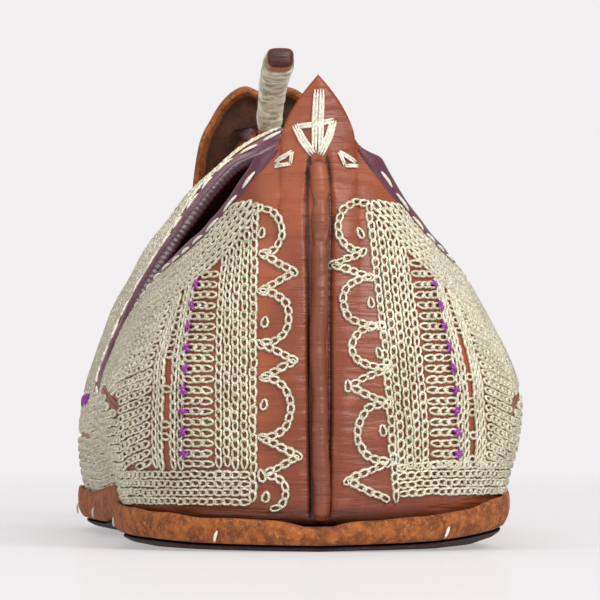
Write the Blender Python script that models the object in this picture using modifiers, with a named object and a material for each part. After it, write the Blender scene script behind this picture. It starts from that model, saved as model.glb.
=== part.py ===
"""Khussa: one straight-cut leather shoe with a turned-up toe, built as its maker would put it together.

Frame: metres, +Z up, heel towards -Y, toe towards +Y, origin on the ground under the middle of the shoe.
The sole is a flat leather pattern that is turned up at the toe; the upper is a leather shell that stands on it.
Every right-hand half is built for +X and mirrored, because this kind of shoe has no left or right.
"""

import math
from collections import namedtuple

import bmesh
import bpy
import numpy as np

# Lengths and heights of the whole shoe
LENGTH = 0.280
TOE_HEIGHT = 0.0865
HEEL_TIP_HEIGHT = 0.0776
TOPLINE_HEIGHT = 0.0615
THROAT_HEIGHT = 0.0712
SIDE_HEIGHT = 0.025
NOSE_HEIGHT = 0.0765

# Widths of the sole, edge to edge
HEEL_WIDTH = 0.066
WAIST_WIDTH = 0.063
BALL_WIDTH = 0.077
TOE_WIDTH = 0.0335

# How the toe turns up: the angle its tip ends at and how late the curl tightens
TOE_CURL = math.radians(101)
TOE_CURL_EASE = 1.15

# Leather thicknesses and clearances
WALL = 0.0020
NOSE_WALL = 0.0012
OUTSOLE_THICKNESS = 0.0013
SOLE_THICKNESS = 0.0025
INSOLE_THICKNESS = 0.0015
GAP = 0.0003

# The cupped rim of the sole
RIM_WIDTH = 0.0020
RIM_BACK = 0.0007
RIM_SIDE = 0.0036
RIM_TOE = 0.0026
EDGE_LIFT = 0.0015
EDGE_LIFT_WIDTH = 0.012
OUTSOLE_SETBACK = 0.0010
ARCH_RISE = 0.0012

# Where the upper stands on the sole
RIM_CLEARANCE = 0.0009
HEEL_SETBACK = 0.0006
TOE_BORDER = 0.0072

# Edging, heel seam and tendril
BINDING_WIDTH = 0.0030
BINDING_THICKNESS = 0.0026
BINDING_GAP = 0.0005
BINDING_END_TILT = 0.5
BINDING_CORNER = 0.22
CORD_WIDTH = 0.0036
CORD_DEPTH = 0.0020
CORD_ENDS = (0.80, 0.55)
CORD_STEPS = 16
TENDRIL_WIDTH = 0.0050
TENDRIL_THICKNESS = 0.0040
WRAP_THICKNESS = 0.0006
WRAP_WAIST = 0.0004
INSOLE_LENGTH = 0.238

# Heights of the layers above the ground, measured square to the sole
SOLE_UNDERSIDE = OUTSOLE_THICKNESS + GAP
SEAT = SOLE_UNDERSIDE + SOLE_THICKNESS
FOOT_OF_UPPER = SEAT + GAP

# How finely the curved pieces are divided
OUTLINE_STEPS = 44
OUTLINE_POINTS = 2400
CROWDING = (0.055, 0.012)
TANGENT_STEP = 0.004
WALL_STEPS = 12
CURL_STEPS = 240
CURVE_STEPS = 40

# How a layer of the sole is filled: the deepest ring as a share of the way in, where rings start to turn
# towards the spine at the tip, how near the spine comes to heel and toe, and the ring half way in
MOST_INSET = 0.42
TIP_SHARE = 0.88
SPINE_END = 0.9
MIDDLE_RING = 0.55

HALF_WIDTH = {
    "heel": HEEL_WIDTH / 2,
    "waist": WAIST_WIDTH / 2,
    "ball": BALL_WIDTH / 2,
    "toe": TOE_WIDTH / 2,
}
HEIGHT = {
    "tip": HEEL_TIP_HEIGHT,
    "topline": TOPLINE_HEIGHT,
    "side": SIDE_HEIGHT,
    "throat": THROAT_HEIGHT,
    "nose": NOSE_HEIGHT,
}

# Side of the flat sole pattern, from the heel seat to the turned-up toe.
# along is a share of the pattern's length and across a share of the named half width.
SoleRow = namedtuple("SoleRow", "name along width across")
SOLE_SIDE = [
    SoleRow("heel seat", 0.145, "heel", 0.995),
    SoleRow("waist", 0.270, "waist", 1.00),
    SoleRow("behind ball", 0.395, "ball", 0.93),
    SoleRow("ball", 0.515, "ball", 1.00),
    SoleRow("toes", 0.615, "ball", 0.955),
    SoleRow("toe spring", 0.700, "ball", 0.82),
    SoleRow("turn", 0.770, "toe", 1.53),
    SoleRow("rise", 0.835, "toe", 1.19),
    SoleRow("prow", 0.900, "toe", 0.97),
]

# Rounded, faintly two-lobed end of the toe. before is a share of the toe width, back from the end.
TipRow = namedtuple("TipRow", "name before across")
SOLE_TIP = [
    TipRow("shoulder", 0.420, 0.84),
    TipRow("corner", 0.200, 0.68),
    TipRow("lobe side", 0.070, 0.50),
    TipRow("lobe", 0.000, 0.27),
    TipRow("notch", 0.045, 0.00),
]

# Height of the rim above the seat and setback of the upper, against the share of the half outline.
# rim mixes the back, side and toe rims; border is a share of the bare toe border.
RimRow = namedtuple("RimRow", "outline back side toe border heel_setback")
RIM = [
    RimRow(0.00, 1.0, 0.0, 0.0, 0.00, 1.0),
    RimRow(0.05, 0.8, 0.2, 0.0, 0.00, 0.8),
    RimRow(0.14, 0.0, 1.0, 0.0, 0.00, 0.0),
    RimRow(0.60, 0.0, 1.0, 0.0, 0.00, 0.0),
    RimRow(0.75, 0.0, 0.5, 0.5, 0.00, 0.0),
    RimRow(0.86, 0.0, 0.0, 1.0, 0.05, 0.0),
    RimRow(0.93, 0.0, 0.0, 1.0, 0.45, 0.0),
    RimRow(1.00, 0.0, 0.0, 1.0, 1.00, 0.0),
]

# One row for each station of the upper, from the heel seam forward.
# foot: share of the half outline where the station stands on the sole.
# along, across, height: its top edge, as shares of LENGTH, of the named half width and of the named height.
# rise, flare: reach of the lower wall as a share of the top edge's height, and its lean outwards in degrees.
# crown, slope: reach of the upper wall as a share of the ball's half width, and its fall in degrees.
# steps: columns of faces up to the next station.
UpperRow = namedtuple("UpperRow", "name foot along width across of height rise flare crown slope steps")
UPPER = [
    UpperRow("heel seam", 0.000, 0.0340, "heel", 0.000, "tip", 1.00, 0.36, 5, 0.66, 82, 1),
    UpperRow("tab side", 0.022, 0.0375, "heel", 0.215, "topline", 1.00, 0.42, 10, 0.58, 80, 1),
    UpperRow("edging end", 0.029, 0.0390, "heel", 0.258, "topline", 0.975, 0.42, 11, 0.57, 80, 2),
    UpperRow("heel corner", 0.075, 0.0660, "heel", 0.485, "topline", 0.845, 0.45, 18, 0.40, 68, 3),
    UpperRow("heel side", 0.146, 0.1570, "heel", 0.790, "topline", 0.675, 0.54, 22, 0.35, 63, 3),
    UpperRow("quarter", 0.260, 0.2850, "waist", 0.995, "topline", 0.512, 0.53, 22, 0.23, 66, 3),
    UpperRow("low side", 0.345, 0.3750, "waist", 1.098, "side", 1.000, 0.52, 22, 0.16, 72, 2),
    UpperRow("front of slit", 0.380, 0.4140, "ball", 0.915, "side", 1.100, 0.50, 22, 0.19, 70, 2),
    UpperRow("throat foot", 0.408, 0.4480, "ball", 0.790, "throat", 0.540, 0.48, 22, 0.27, 62, 2),
    UpperRow("throat side", 0.437, 0.4800, "ball", 0.575, "throat", 0.728, 0.43, 22, 0.34, 55, 2),
    UpperRow("throat corner", 0.467, 0.5110, "ball", 0.300, "throat", 0.910, 0.40, 21, 0.38, 34, 2),
    UpperRow("throat", 0.497, 0.5270, "ball", 0.000, "throat", 1.000, 0.39, 21, 0.36, 0, 3),
    UpperRow("instep", 0.550, 0.6140, "ball", 0.000, "throat", 0.874, 0.44, 22, 0.46, 0, 4),
    UpperRow("vamp", 0.640, 0.7290, "ball", 0.000, "throat", 0.702, 0.42, 21, 0.50, 0, 4),
    UpperRow("dip", 0.740, 0.8250, "ball", 0.000, "throat", 0.667, 0.34, 15, 0.40, 0, 4),
    UpperRow("turn", 0.830, 0.8900, "ball", 0.000, "nose", 0.730, 0.22, 9, 0.29, 0, 4),
    UpperRow("toe", 0.915, 0.9280, "ball", 0.000, "nose", 0.880, 0.10, 6, 0.20, 0, 4),
    UpperRow("nose", 1.000, 0.9440, "ball", 0.000, "nose", 1.000, 0.05, 0, 0.09, 0, 0),
]

# Route of the tendril in the middle plane, from the nose of the vamp back over the instep.
# back is a share of LENGTH behind the nose, up a share of NOSE_HEIGHT above it.
TendrilRow = namedtuple("TendrilRow", "name back up width")
TENDRIL = [
    TendrilRow("root", 0.000, 0.000, 0.90),
    TendrilRow("rise", 0.010, 0.036, 0.91),
    TendrilRow("turn", 0.043, 0.080, 0.94),
    TendrilRow("back", 0.090, 0.113, 0.97),
    TendrilRow("reach", 0.145, 0.137, 1.00),
    TendrilRow("level", 0.200, 0.151, 1.02),
    TendrilRow("cut end", 0.250, 0.161, 1.04),
]
TENDRIL_ROOT_RISE = 0.0009
TENDRIL_STEPS = 25
TENDRIL_CORNERS = 12
TENDRIL_SQUARE = 0.6
WRAP_START = 0.06
WRAP_END = 0.90

# Colours, linear RGB, with roughness
Finish = namedtuple("Finish", "colour roughness")
FINISH = {
    "upper_leather": Finish((0.50, 0.14, 0.075), 0.45),
    "sole_leather": Finish((0.42, 0.13, 0.035), 0.80),
    "outsole_leather": Finish((0.045, 0.018, 0.022), 0.70),
    "insole_leather": Finish((0.30, 0.12, 0.055), 0.65),
    "maroon_leather": Finish((0.085, 0.010, 0.028), 0.40),
    "gold_thread": Finish((0.62, 0.56, 0.38), 0.35),
}


def smooth(knots, values, at):
    """Curve through the rows that never swings past one: a monotone cubic."""
    knots = np.asarray(knots, float)
    values = np.asarray(values, float)
    at = np.asarray(at, float)
    step = np.diff(knots)
    rise = np.diff(values) / step
    slope = np.zeros_like(values)
    slope[0], slope[-1] = rise[0], rise[-1]
    before, after = rise[:-1], rise[1:]
    same_way = before * after > 0
    slope[1:-1][same_way] = (2 * before * after)[same_way] / (before + after)[same_way]
    cell = np.clip(np.searchsorted(knots, at, side="right") - 1, 0, len(step) - 1)
    part = (at - knots[cell]) / step[cell]
    width = step[cell]
    start = values[cell] * (1 + 2 * part) * (1 - part) ** 2 + slope[cell] * width * part * (1 - part) ** 2
    end = values[cell + 1] * part**2 * (3 - 2 * part) - slope[cell + 1] * width * part**2 * (1 - part)
    return start + end


def through(points, count):
    """Evenly divided Catmull-Rom curve through the points, as an array of count rows."""
    points = np.asarray(points, float)
    padded = np.vstack([2 * points[0] - points[1], points, 2 * points[-1] - points[-2]])
    at = np.linspace(0, len(points) - 1, CURVE_STEPS * len(points))
    cell = np.minimum(at.astype(int), len(points) - 2)
    part = (at - cell)[:, None]
    a, b, c, d = (padded[cell + k] for k in range(4))
    bend = (2 * a - 5 * b + 4 * c - d) * part**2 + (3 * b - a - 3 * c + d) * part**3
    curve = 0.5 * (2 * b + (c - a) * part + bend)
    return divided(curve, np.linspace(0, 1, count))


def divided(curve, shares):
    """Points of a polyline at the given shares of its length."""
    reach = np.concatenate([[0], np.cumsum(np.linalg.norm(np.diff(curve, axis=0), axis=1))])
    at = np.asarray(shares) * reach[-1]
    return np.stack([np.interp(at, reach, curve[:, k]) for k in range(curve.shape[1])], axis=-1)


# The turned-up centre line of the sole

curl_at = np.linspace(0, 1, CURL_STEPS)
curl_angle = TOE_CURL * curl_at**TOE_CURL_EASE
curl_forward = np.concatenate([[0], np.cumsum((np.cos(curl_angle[:-1]) + np.cos(curl_angle[1:])) / 2)])
curl_up = np.concatenate([[0], np.cumsum((np.sin(curl_angle[:-1]) + np.sin(curl_angle[1:])) / 2)])
curl_forward /= CURL_STEPS - 1
curl_up /= CURL_STEPS - 1
CURL_LENGTH = TOE_HEIGHT / curl_up[-1]
CURL_START = LENGTH - CURL_LENGTH * curl_forward.max()
PATTERN_LENGTH = CURL_START + CURL_LENGTH
ARCH_SPAN = (0.23 * PATTERN_LENGTH, 0.40 * PATTERN_LENGTH)


def turn_up(across, along, above):
    """Takes points of the flat pattern to their place on the shoe; above is square to the sole."""
    across, along, above = np.broadcast_arrays(across, along, above)
    part = np.clip((along - CURL_START) / CURL_LENGTH, 0, 1)
    angle = np.interp(part, curl_at, curl_angle)
    curled = CURL_START + CURL_LENGTH * np.interp(part, curl_at, curl_forward)
    forward = np.where(along < CURL_START, along, curled)
    up = CURL_LENGTH * np.interp(part, curl_at, curl_up)
    arch = np.clip((along - ARCH_SPAN[0]) / (ARCH_SPAN[1] - ARCH_SPAN[0]), 0, 1)
    up = up + ARCH_RISE * np.sin(math.pi * arch) ** 2
    y = forward - above * np.sin(angle) - LENGTH / 2
    return np.stack([across, y, up + above * np.cos(angle)], axis=-1)


def turned_direction(across, along, share):
    """Direction in the pattern's plane, carried to the shoe at the given place along the pattern."""
    part = np.clip((share - CURL_START) / CURL_LENGTH, 0, 1)
    angle = np.interp(part, curl_at, curl_angle)
    return np.stack([across, along * np.cos(angle), along * np.sin(angle)], axis=-1)


def square_to_sole(share):
    """Direction square to the sole at the given place along the pattern, towards the foot."""
    part = np.clip((share - CURL_START) / CURL_LENGTH, 0, 1)
    angle = np.interp(part, curl_at, curl_angle)
    return np.stack([np.zeros_like(angle), -np.sin(angle), np.cos(angle)], axis=-1)


# The flat outline of the sole


def half_outline():
    """Right half of the sole pattern from the heel's back to the toe's notch, as rows of across and along."""
    radius = HALF_WIDTH["heel"]
    turns = np.radians([0, 20, 40, 60, 80])
    points = [(radius * math.sin(turn), radius * (1 - math.cos(turn))) for turn in turns]
    points += [(row.across * HALF_WIDTH[row.width], row.along * PATTERN_LENGTH) for row in SOLE_SIDE]
    points += [(row.across * HALF_WIDTH["toe"], PATTERN_LENGTH - row.before * TOE_WIDTH) for row in SOLE_TIP]
    points = np.array(points)
    mirrored = points * [-1, 1]
    whole = np.vstack([mirrored[2:0:-1], points, mirrored[-2:-4:-1]])
    dense = through(whole, OUTLINE_POINTS)
    ahead = dense[:, 0] >= 0
    right = dense[ahead]
    right[0, 0] = 0
    right[-1, 0] = 0
    return right


OUTLINE = half_outline()


def outline_at(shares):
    """Point, outward direction and rim figures of the outline at shares of its half length."""
    shares = np.asarray(shares, float)
    point = divided(OUTLINE, shares)
    ahead = divided(OUTLINE, np.clip(shares + TANGENT_STEP, 0, 1))
    behind = divided(OUTLINE, np.clip(shares - TANGENT_STEP, 0, 1))
    tangent = ahead - behind
    outward = np.stack([tangent[:, 1], -tangent[:, 0]], axis=-1)
    outward /= np.linalg.norm(outward, axis=1)[:, None]
    outward[shares <= 0] = (0, -1)
    outward[shares >= 1] = (0, 1)
    return point, outward


def rim_at(shares, column):
    """One column of the rim table, read smoothly at shares of the half outline."""
    return smooth([row.outline for row in RIM], [getattr(row, column) for row in RIM], shares)


def rim_height(shares):
    """Height of the rim above the seat."""
    return RIM_BACK * rim_at(shares, "back") + RIM_SIDE * rim_at(shares, "side") + RIM_TOE * rim_at(shares, "toe")


def upper_setback(shares):
    """Distance from the sole's edge to the foot of the upper."""
    extra = HEEL_SETBACK * rim_at(shares, "heel_setback") + TOE_BORDER * rim_at(shares, "border")
    return RIM_WIDTH + RIM_CLEARANCE + extra


def edge_lift(shares, inset):
    """How far the sole's edge is drawn up: most along the sides, nothing at the back of the heel and at the toe."""
    drawn = EDGE_LIFT * rim_at(shares, "side")
    return drawn * np.clip(1 - inset / EDGE_LIFT_WIDTH, 0, 1) ** 2


def spine_of(point):
    """Point on the middle line that a place on the outline is drawn in towards."""
    along = np.clip(point[:, 1], HALF_WIDTH["heel"] * SPINE_END, PATTERN_LENGTH - HALF_WIDTH["toe"] * SPINE_END)
    return np.stack([np.zeros(len(point)), along], axis=-1)


# Meshes


def new_collection(name):
    """A collection linked to the scene."""
    collection = bpy.data.collections.new(name)
    bpy.context.scene.collection.children.link(collection)
    return collection


def new_material(name):
    """Principled material with the finish of that name."""
    material = bpy.data.materials.new(name)
    material.use_nodes = True
    shader = material.node_tree.nodes["Principled BSDF"]
    shader.inputs["Base Color"].default_value = (*FINISH[name].colour, 1)
    shader.inputs["Roughness"].default_value = FINISH[name].roughness
    shader.inputs["Metallic"].default_value = 0
    return material


def grid_faces(rows, columns):
    """Quads of a grid of rows by columns of points."""
    index = np.arange(rows * columns).reshape(rows, columns)
    quads = np.stack([index[:-1, :-1], index[1:, :-1], index[1:, 1:], index[:-1, 1:]], axis=-1)
    return quads.reshape(-1, 4).tolist()


def add_object(name, points, faces, material, collection, closed=False):
    """Mesh object from points and faces, with doubled points joined and empty faces taken away."""
    mesh = bpy.data.meshes.new(name)
    mesh.from_pydata(np.asarray(points).reshape(-1, 3).tolist(), [], faces)
    shape = bmesh.new()
    shape.from_mesh(mesh)
    bmesh.ops.remove_doubles(shape, verts=shape.verts, dist=1e-6)
    bmesh.ops.dissolve_degenerate(shape, dist=1e-7, edges=shape.edges)
    if closed:
        bmesh.ops.recalc_face_normals(shape, faces=shape.faces)
    shape.to_mesh(mesh)
    shape.free()
    mesh.shade_smooth()
    mesh.set_sharp_from_angle(angle=math.radians(40))
    piece = bpy.data.objects.new(name, mesh)
    piece.data.materials.append(bpy.data.materials[material])
    collection.objects.link(piece)
    return piece


def mirror(piece):
    """Mirrors a half that is open at the middle plane."""
    modifier = piece.modifiers.new("other half", "MIRROR")
    modifier.use_axis = (True, False, False)
    modifier.use_clip = True
    modifier.merge_threshold = 0.00001


def sole_layer(name, shares, rings, material, collection):
    """Half a leather layer cut to the outline, closed by its mirror image.

    rings lists (inset, drawn in, above): how far each ring lies inside the outline, its share of the way to
    the middle line, and a function of outline share and inset for its height square to the sole, from the
    middle of the top round the edge to the middle of the underside.
    """
    point, outward = outline_at(shares)
    spine = spine_of(point)
    inwards = spine - point
    widest = MOST_INSET * np.linalg.norm(inwards, axis=1)
    inwards /= np.linalg.norm(inwards, axis=1)[:, None]
    towards_spine = np.clip((shares - TIP_SHARE) / (1 - TIP_SHARE) * 2, 0, 1)[:, None]
    inwards = inwards * towards_spine - outward * (1 - towards_spine)
    columns = []
    for inset, drawn_in, above in rings:
        reach = np.minimum(inset, widest)
        ring = point + inwards * reach[:, None]
        ring = ring + (spine - ring) * drawn_in
        ring[[0, -1], 0] = 0
        columns.append(turn_up(ring[:, 0], ring[:, 1], above(shares, reach)))
    points = np.stack(columns[::-1], axis=1)
    piece = add_object(name, points, grid_faces(len(shares), len(rings)), material, collection)
    mirror(piece)
    return piece


def outline_shares():
    """Shares of the half outline where the sole layers have a point: closer together at heel and toe."""
    even = np.linspace(0, 1, OUTLINE_STEPS)
    return even - CROWDING[0] * np.sin(2 * math.pi * even) - CROWDING[1] * np.sin(4 * math.pi * even)


def level(height):
    """Ring height that is the same all round."""
    return lambda shares, inset: height


def lifted(height):
    """Ring height that follows the drawn-up edge of the sole."""
    return lambda shares, inset: height + edge_lift(shares, inset)


def rim_part(share, drop=0.0):
    """Ring height at a share of the way from the seat to the top of the rim."""
    return lambda shares, inset: SEAT + rim_height(shares) * share - drop


def make_outsole(collection):
    """Thin dark layer that touches the ground."""
    edge = OUTSOLE_SETBACK
    rings = [
        (edge, 1.0, level(OUTSOLE_THICKNESS)),
        (edge, MIDDLE_RING, level(OUTSOLE_THICKNESS)),
        (EDGE_LIFT_WIDTH, 0.0, level(OUTSOLE_THICKNESS)),
        (EDGE_LIFT_WIDTH / 2, 0.0, lifted(OUTSOLE_THICKNESS)),
        (EDGE_LIFT_WIDTH / 5, 0.0, lifted(OUTSOLE_THICKNESS)),
        (edge, 0.0, lifted(OUTSOLE_THICKNESS)),
        (edge, 0.0, lifted(0.4 * OUTSOLE_THICKNESS)),
        (EDGE_LIFT_WIDTH / 7, 0.0, lifted(0.0)),
        (EDGE_LIFT_WIDTH / 2, 0.0, lifted(0.0)),
        (EDGE_LIFT_WIDTH, 0.0, level(0.0)),
        (edge, MIDDLE_RING, level(0.0)),
        (edge, 1.0, level(0.0)),
    ]
    return sole_layer("outsole", outline_shares(), rings, "outsole_leather", collection)


def make_sole(collection):
    """Thicker tan layer with the cupped rim that the upper stands inside."""
    rings = [
        (0.0, 1.0, level(SEAT)),
        (0.0, MIDDLE_RING, level(SEAT)),
        (RIM_WIDTH * 2, 0.0, level(SEAT)),
        (RIM_WIDTH, 0.0, level(SEAT)),
        (RIM_WIDTH * 0.50, 0.0, rim_part(0.93)),
        (RIM_WIDTH * 0.25, 0.0, rim_part(1.0)),
        (0.0, 0.0, rim_part(0.85)),
        (RIM_WIDTH * 0.12, 0.0, rim_part(0.0, SOLE_THICKNESS * 0.3)),
        (RIM_WIDTH * 0.45, 0.0, lifted(SOLE_UNDERSIDE)),
        (EDGE_LIFT_WIDTH / 5, 0.0, lifted(SOLE_UNDERSIDE)),
        (EDGE_LIFT_WIDTH / 2, 0.0, lifted(SOLE_UNDERSIDE)),
        (EDGE_LIFT_WIDTH, 0.0, level(SOLE_UNDERSIDE)),
        (0.0, MIDDLE_RING, level(SOLE_UNDERSIDE)),
        (0.0, 1.0, level(SOLE_UNDERSIDE)),
    ]
    return sole_layer("sole", outline_shares(), rings, "sole_leather", collection)


def make_insole(collection):
    """Footbed inside the upper, rounded off under the toes."""
    inset = RIM_WIDTH + RIM_CLEARANCE + HEEL_SETBACK + WALL + 2 * GAP
    shares = np.linspace(0, 1, OUTLINE_STEPS)
    point, outward = outline_at(shares)
    edge = point - outward * inset
    edge[0, 0] = 0
    nose_start = INSOLE_LENGTH - HALF_WIDTH["toe"]
    side = edge[(edge[:, 1] < nose_start)]
    turn = np.linspace(0, math.pi / 2, 9)[1:]
    nose = np.stack([side[-1, 0] * np.cos(turn), side[-1, 1] + (INSOLE_LENGTH - side[-1, 1]) * np.sin(turn)], axis=-1)
    nose[-1, 0] = 0
    whole = np.vstack([side, nose])
    within = HALF_WIDTH["toe"] / 2
    spine = np.stack([np.zeros(len(whole)), np.clip(whole[:, 1], within, INSOLE_LENGTH - within)], axis=-1)
    columns = []
    for drawn_in, above in ((1, 0.0), (0.5, 0.0), (0.0, 0.0), (0.0, 1.0), (0.5, 1.0), (1, 1.0)):
        ring = whole + (spine - whole) * drawn_in
        columns.append(turn_up(ring[:, 0], ring[:, 1], FOOT_OF_UPPER + INSOLE_THICKNESS * above))
    points = np.stack(columns, axis=1)
    piece = add_object("insole", points, grid_faces(len(whole), 6), "insole_leather", collection)
    mirror(piece)
    return piece


# The upper's own surface


def upper_columns():
    """Where the upper's columns of faces stand, counted in rows of the table."""
    places = [np.arange(row.steps) / max(row.steps, 1) + number for number, row in enumerate(UPPER[:-1])]
    return np.concatenate([*places, [len(UPPER) - 1]])


def upper_figure(values, at):
    """One figure of the upper's table, read smoothly between its rows."""
    return smooth(np.arange(len(UPPER)), values, at)


def upper_surface(at, levels):
    """Points of the upper's outside: a wall curve at each column, from its foot on the sole to its top edge.

    Each wall is a cubic curve. It leaves the sole along the lower reach, leaning out by the flare, and comes
    to the top edge along the upper reach, falling away from it by the slope.
    """
    foot_share = upper_figure([row.foot for row in UPPER], at)
    point, outward = outline_at(foot_share)
    foot_plan = point - outward * upper_setback(foot_share)[:, None]
    in_middle = (at == 0) | (at == len(UPPER) - 1)
    foot_plan[in_middle, 0] = 0
    foot = turn_up(foot_plan[:, 0], foot_plan[:, 1], FOOT_OF_UPPER)
    across = upper_figure([row.across * HALF_WIDTH[row.width] for row in UPPER], at)
    along = upper_figure([row.along * LENGTH for row in UPPER], at) - LENGTH / 2
    height = upper_figure([row.height * HEIGHT[row.of] for row in UPPER], at)
    top = np.stack([across, along, height], axis=-1)
    closed = at >= THROAT_ROW
    flare = np.radians(upper_figure([row.flare for row in UPPER], at))[:, None]
    outward_there = turned_direction(outward[:, 0], outward[:, 1], foot_plan[:, 1])
    upright = square_to_sole(foot_plan[:, 1])
    lower = (upright * np.cos(flare) + outward_there * np.sin(flare)) * (
        upper_figure([row.rise * row.height * HEIGHT[row.of] for row in UPPER], at)[:, None]
    )
    slope = np.radians(upper_figure([row.slope for row in UPPER], at))[:, None]
    flat = np.stack([outward[:, 0], outward[:, 1], np.zeros(len(at))], axis=-1)
    flat[closed] = (1, 0, 0)
    flat[at == len(UPPER) - 1] = (0, 1, 0)
    fall = flat * np.cos(slope) - np.array([0, 0, 1]) * np.sin(slope)
    upper = fall * (upper_figure([row.crown for row in UPPER], at) * HALF_WIDTH["ball"])[:, None]
    part = np.asarray(levels)[None, :, None]
    start, end = foot[:, None], top[:, None]
    first, second = start + lower[:, None], end + upper[:, None]
    grid = (
        start * (1 - part) ** 3
        + first * 3 * part * (1 - part) ** 2
        + second * 3 * part**2 * (1 - part)
        + end * part**3
    )
    grid[in_middle, :, 0] = 0
    grid[closed, -1, 0] = 0
    return grid


THROAT_ROW = [row.name for row in UPPER].index("throat")
TAB_ROW = [row.name for row in UPPER].index("tab side")


def surface_normals(grid):
    """Outward directions of a half grid, square to the middle plane where it meets it."""
    along = np.gradient(grid, axis=0)
    up = np.gradient(grid, axis=1)
    normal = np.cross(along, up)
    normal[np.abs(grid[:, :, 0]) < 1e-9, 0] = 0
    length = np.linalg.norm(normal, axis=2)[:, :, None]
    return normal / np.maximum(length, 1e-12)


def make_upper(collection):
    """Leather shell: an open half surface, mirrored and given its wall inwards."""
    at = upper_columns()
    grid = upper_surface(at, np.linspace(0, 1, WALL_STEPS))
    piece = add_object("upper", grid, grid_faces(len(at), WALL_STEPS), "upper_leather", collection)
    mirror(piece)
    thin = piece.vertex_groups.new(name="wall")
    nose_along = UPPER[-1].along * LENGTH - LENGTH / 2
    for vertex in piece.data.vertices:
        from_nose = (nose_along - vertex.co.y) / TOE_WIDTH
        thin.add([vertex.index], min(max(from_nose, 0), 1), "REPLACE")
    wall = piece.modifiers.new("wall", "SOLIDIFY")
    wall.thickness = WALL
    wall.offset = -1
    wall.use_even_offset = False
    wall.vertex_group = thin.name
    wall.thickness_vertex_group = NOSE_WALL / WALL
    return piece


def sweep(name, path, side, out, profile, material, collection, mirrored, capped):
    """Carries a closed profile along a path. side and out are its two directions at each point."""
    profile = np.asarray(profile)
    rings = path[:, None] + side[:, None] * profile[..., 0:1] + out[:, None] * profile[..., 1:2]
    count, corners = rings.shape[:2]
    rings = np.concatenate([rings, rings[:, :1]], axis=1)
    faces = grid_faces(count, corners + 1)
    if capped[0]:
        faces.append(list(range(corners)))
    if capped[1]:
        faces.append([(count - 1) * (corners + 1) + k for k in reversed(range(corners))])
    piece = add_object(name, rings, faces, material, collection, closed=not mirrored)
    if mirrored:
        mirror(piece)
    return piece


def rounded_band(low, high, inner, outer, corner):
    """Profile of a flat band with its corners taken off, from low to high and from inner to outer."""
    return [
        (low, inner + corner),
        (low, outer - corner),
        (low + corner, outer),
        (high - corner, outer),
        (high, outer - corner),
        (high, inner + corner),
        (high - corner, inner),
        (low + corner, inner),
    ]


def make_binding(collection):
    """Edging that continues the shell past its top edge, from the heel tab round to the throat."""
    at = upper_columns()
    grid = upper_surface(at, np.linspace(0, 1, WALL_STEPS))
    kept = (at > TAB_ROW) & (at <= THROAT_ROW)
    edge = grid[kept, -1]
    out = surface_normals(grid)[kept, -1]
    run = np.gradient(edge, axis=0)
    run[-1] = (-1, 0, 0)
    run /= np.linalg.norm(run, axis=1)[:, None]
    out -= run * np.sum(out * run, axis=1)[:, None]
    out /= np.linalg.norm(out, axis=1)[:, None]
    away = np.cross(out, run)
    tab_side = grid[0, -1] - grid[TAB_ROW, -1]
    away[0] += BINDING_END_TILT * tab_side / np.linalg.norm(tab_side)
    away[0] /= np.linalg.norm(away[0])
    proud = (BINDING_THICKNESS - WALL) / 2
    corner = BINDING_THICKNESS * BINDING_CORNER
    profile = rounded_band(BINDING_GAP, BINDING_GAP + BINDING_WIDTH, -WALL - proud, proud, corner)
    return sweep("topline_binding", edge, away, out, profile, "maroon_leather", collection, True, (True, False))


def make_back_seam_cord(collection):
    """Raised rolled seam down the middle of the heel, from under the tab to the rim of the sole."""
    wall = upper_surface(np.array([0.0]), np.linspace(0, 1, CURVE_STEPS))[0]
    low = SEAT + RIM_BACK + 2 * GAP
    kept = wall[(wall[:, 2] > low) & (wall[:, 2] < TOPLINE_HEIGHT)]
    path = divided(kept, np.linspace(0, 1, CORD_STEPS))
    run = np.gradient(path, axis=0)
    run /= np.linalg.norm(run, axis=1)[:, None]
    out = np.cross(np.array([[1.0, 0, 0]]), run)
    side = np.tile([1.0, 0, 0], (len(path), 1))
    turn = np.linspace(0, math.pi, 8)
    profile = np.stack([CORD_WIDTH / 2 * np.cos(turn), CORD_DEPTH * np.sin(turn)], axis=-1)
    fade = np.ones(len(path))
    fade[0], fade[-1] = CORD_ENDS
    rings = profile[None] * fade[:, None, None] + [0, GAP]
    return sweep("back_seam_cord", path, side, out, rings, "upper_leather", collection, False, (True, True))


def tendril_path():
    """Route of the tendril and its two directions, side and out, at evenly divided points."""
    nose = np.array([0, UPPER[-1].along * LENGTH - LENGTH / 2, NOSE_HEIGHT + TENDRIL_ROOT_RISE])
    rows = [nose + [0, -row.back * LENGTH, row.up * NOSE_HEIGHT] for row in TENDRIL]
    path = through(rows, TENDRIL_STEPS)
    run = np.gradient(path, axis=0)
    run /= np.linalg.norm(run, axis=1)[:, None]
    side = np.tile([1.0, 0, 0], (len(path), 1))
    return path, side, np.cross(side, run)


def oval(width, thickness):
    """Profile of a flattened round strip."""
    turn = np.arange(TENDRIL_CORNERS) * 2 * math.pi / TENDRIL_CORNERS
    across = np.sign(np.cos(turn)) * np.abs(np.cos(turn)) ** TENDRIL_SQUARE
    through_it = np.sign(np.sin(turn)) * np.abs(np.sin(turn)) ** TENDRIL_SQUARE
    return np.stack([across * width / 2, through_it * thickness / 2], axis=-1)


def tendril_rings(thicker):
    """Profiles of the tendril along its route, each made thicker all round by the amount for its place."""
    at = np.linspace(0, 1, TENDRIL_STEPS)
    width = TENDRIL_WIDTH * smooth(np.linspace(0, 1, len(TENDRIL)), [row.width for row in TENDRIL], at)
    return np.array([oval(w + 2 * t, TENDRIL_THICKNESS + 2 * t) for w, t in zip(width, thicker)])


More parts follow.
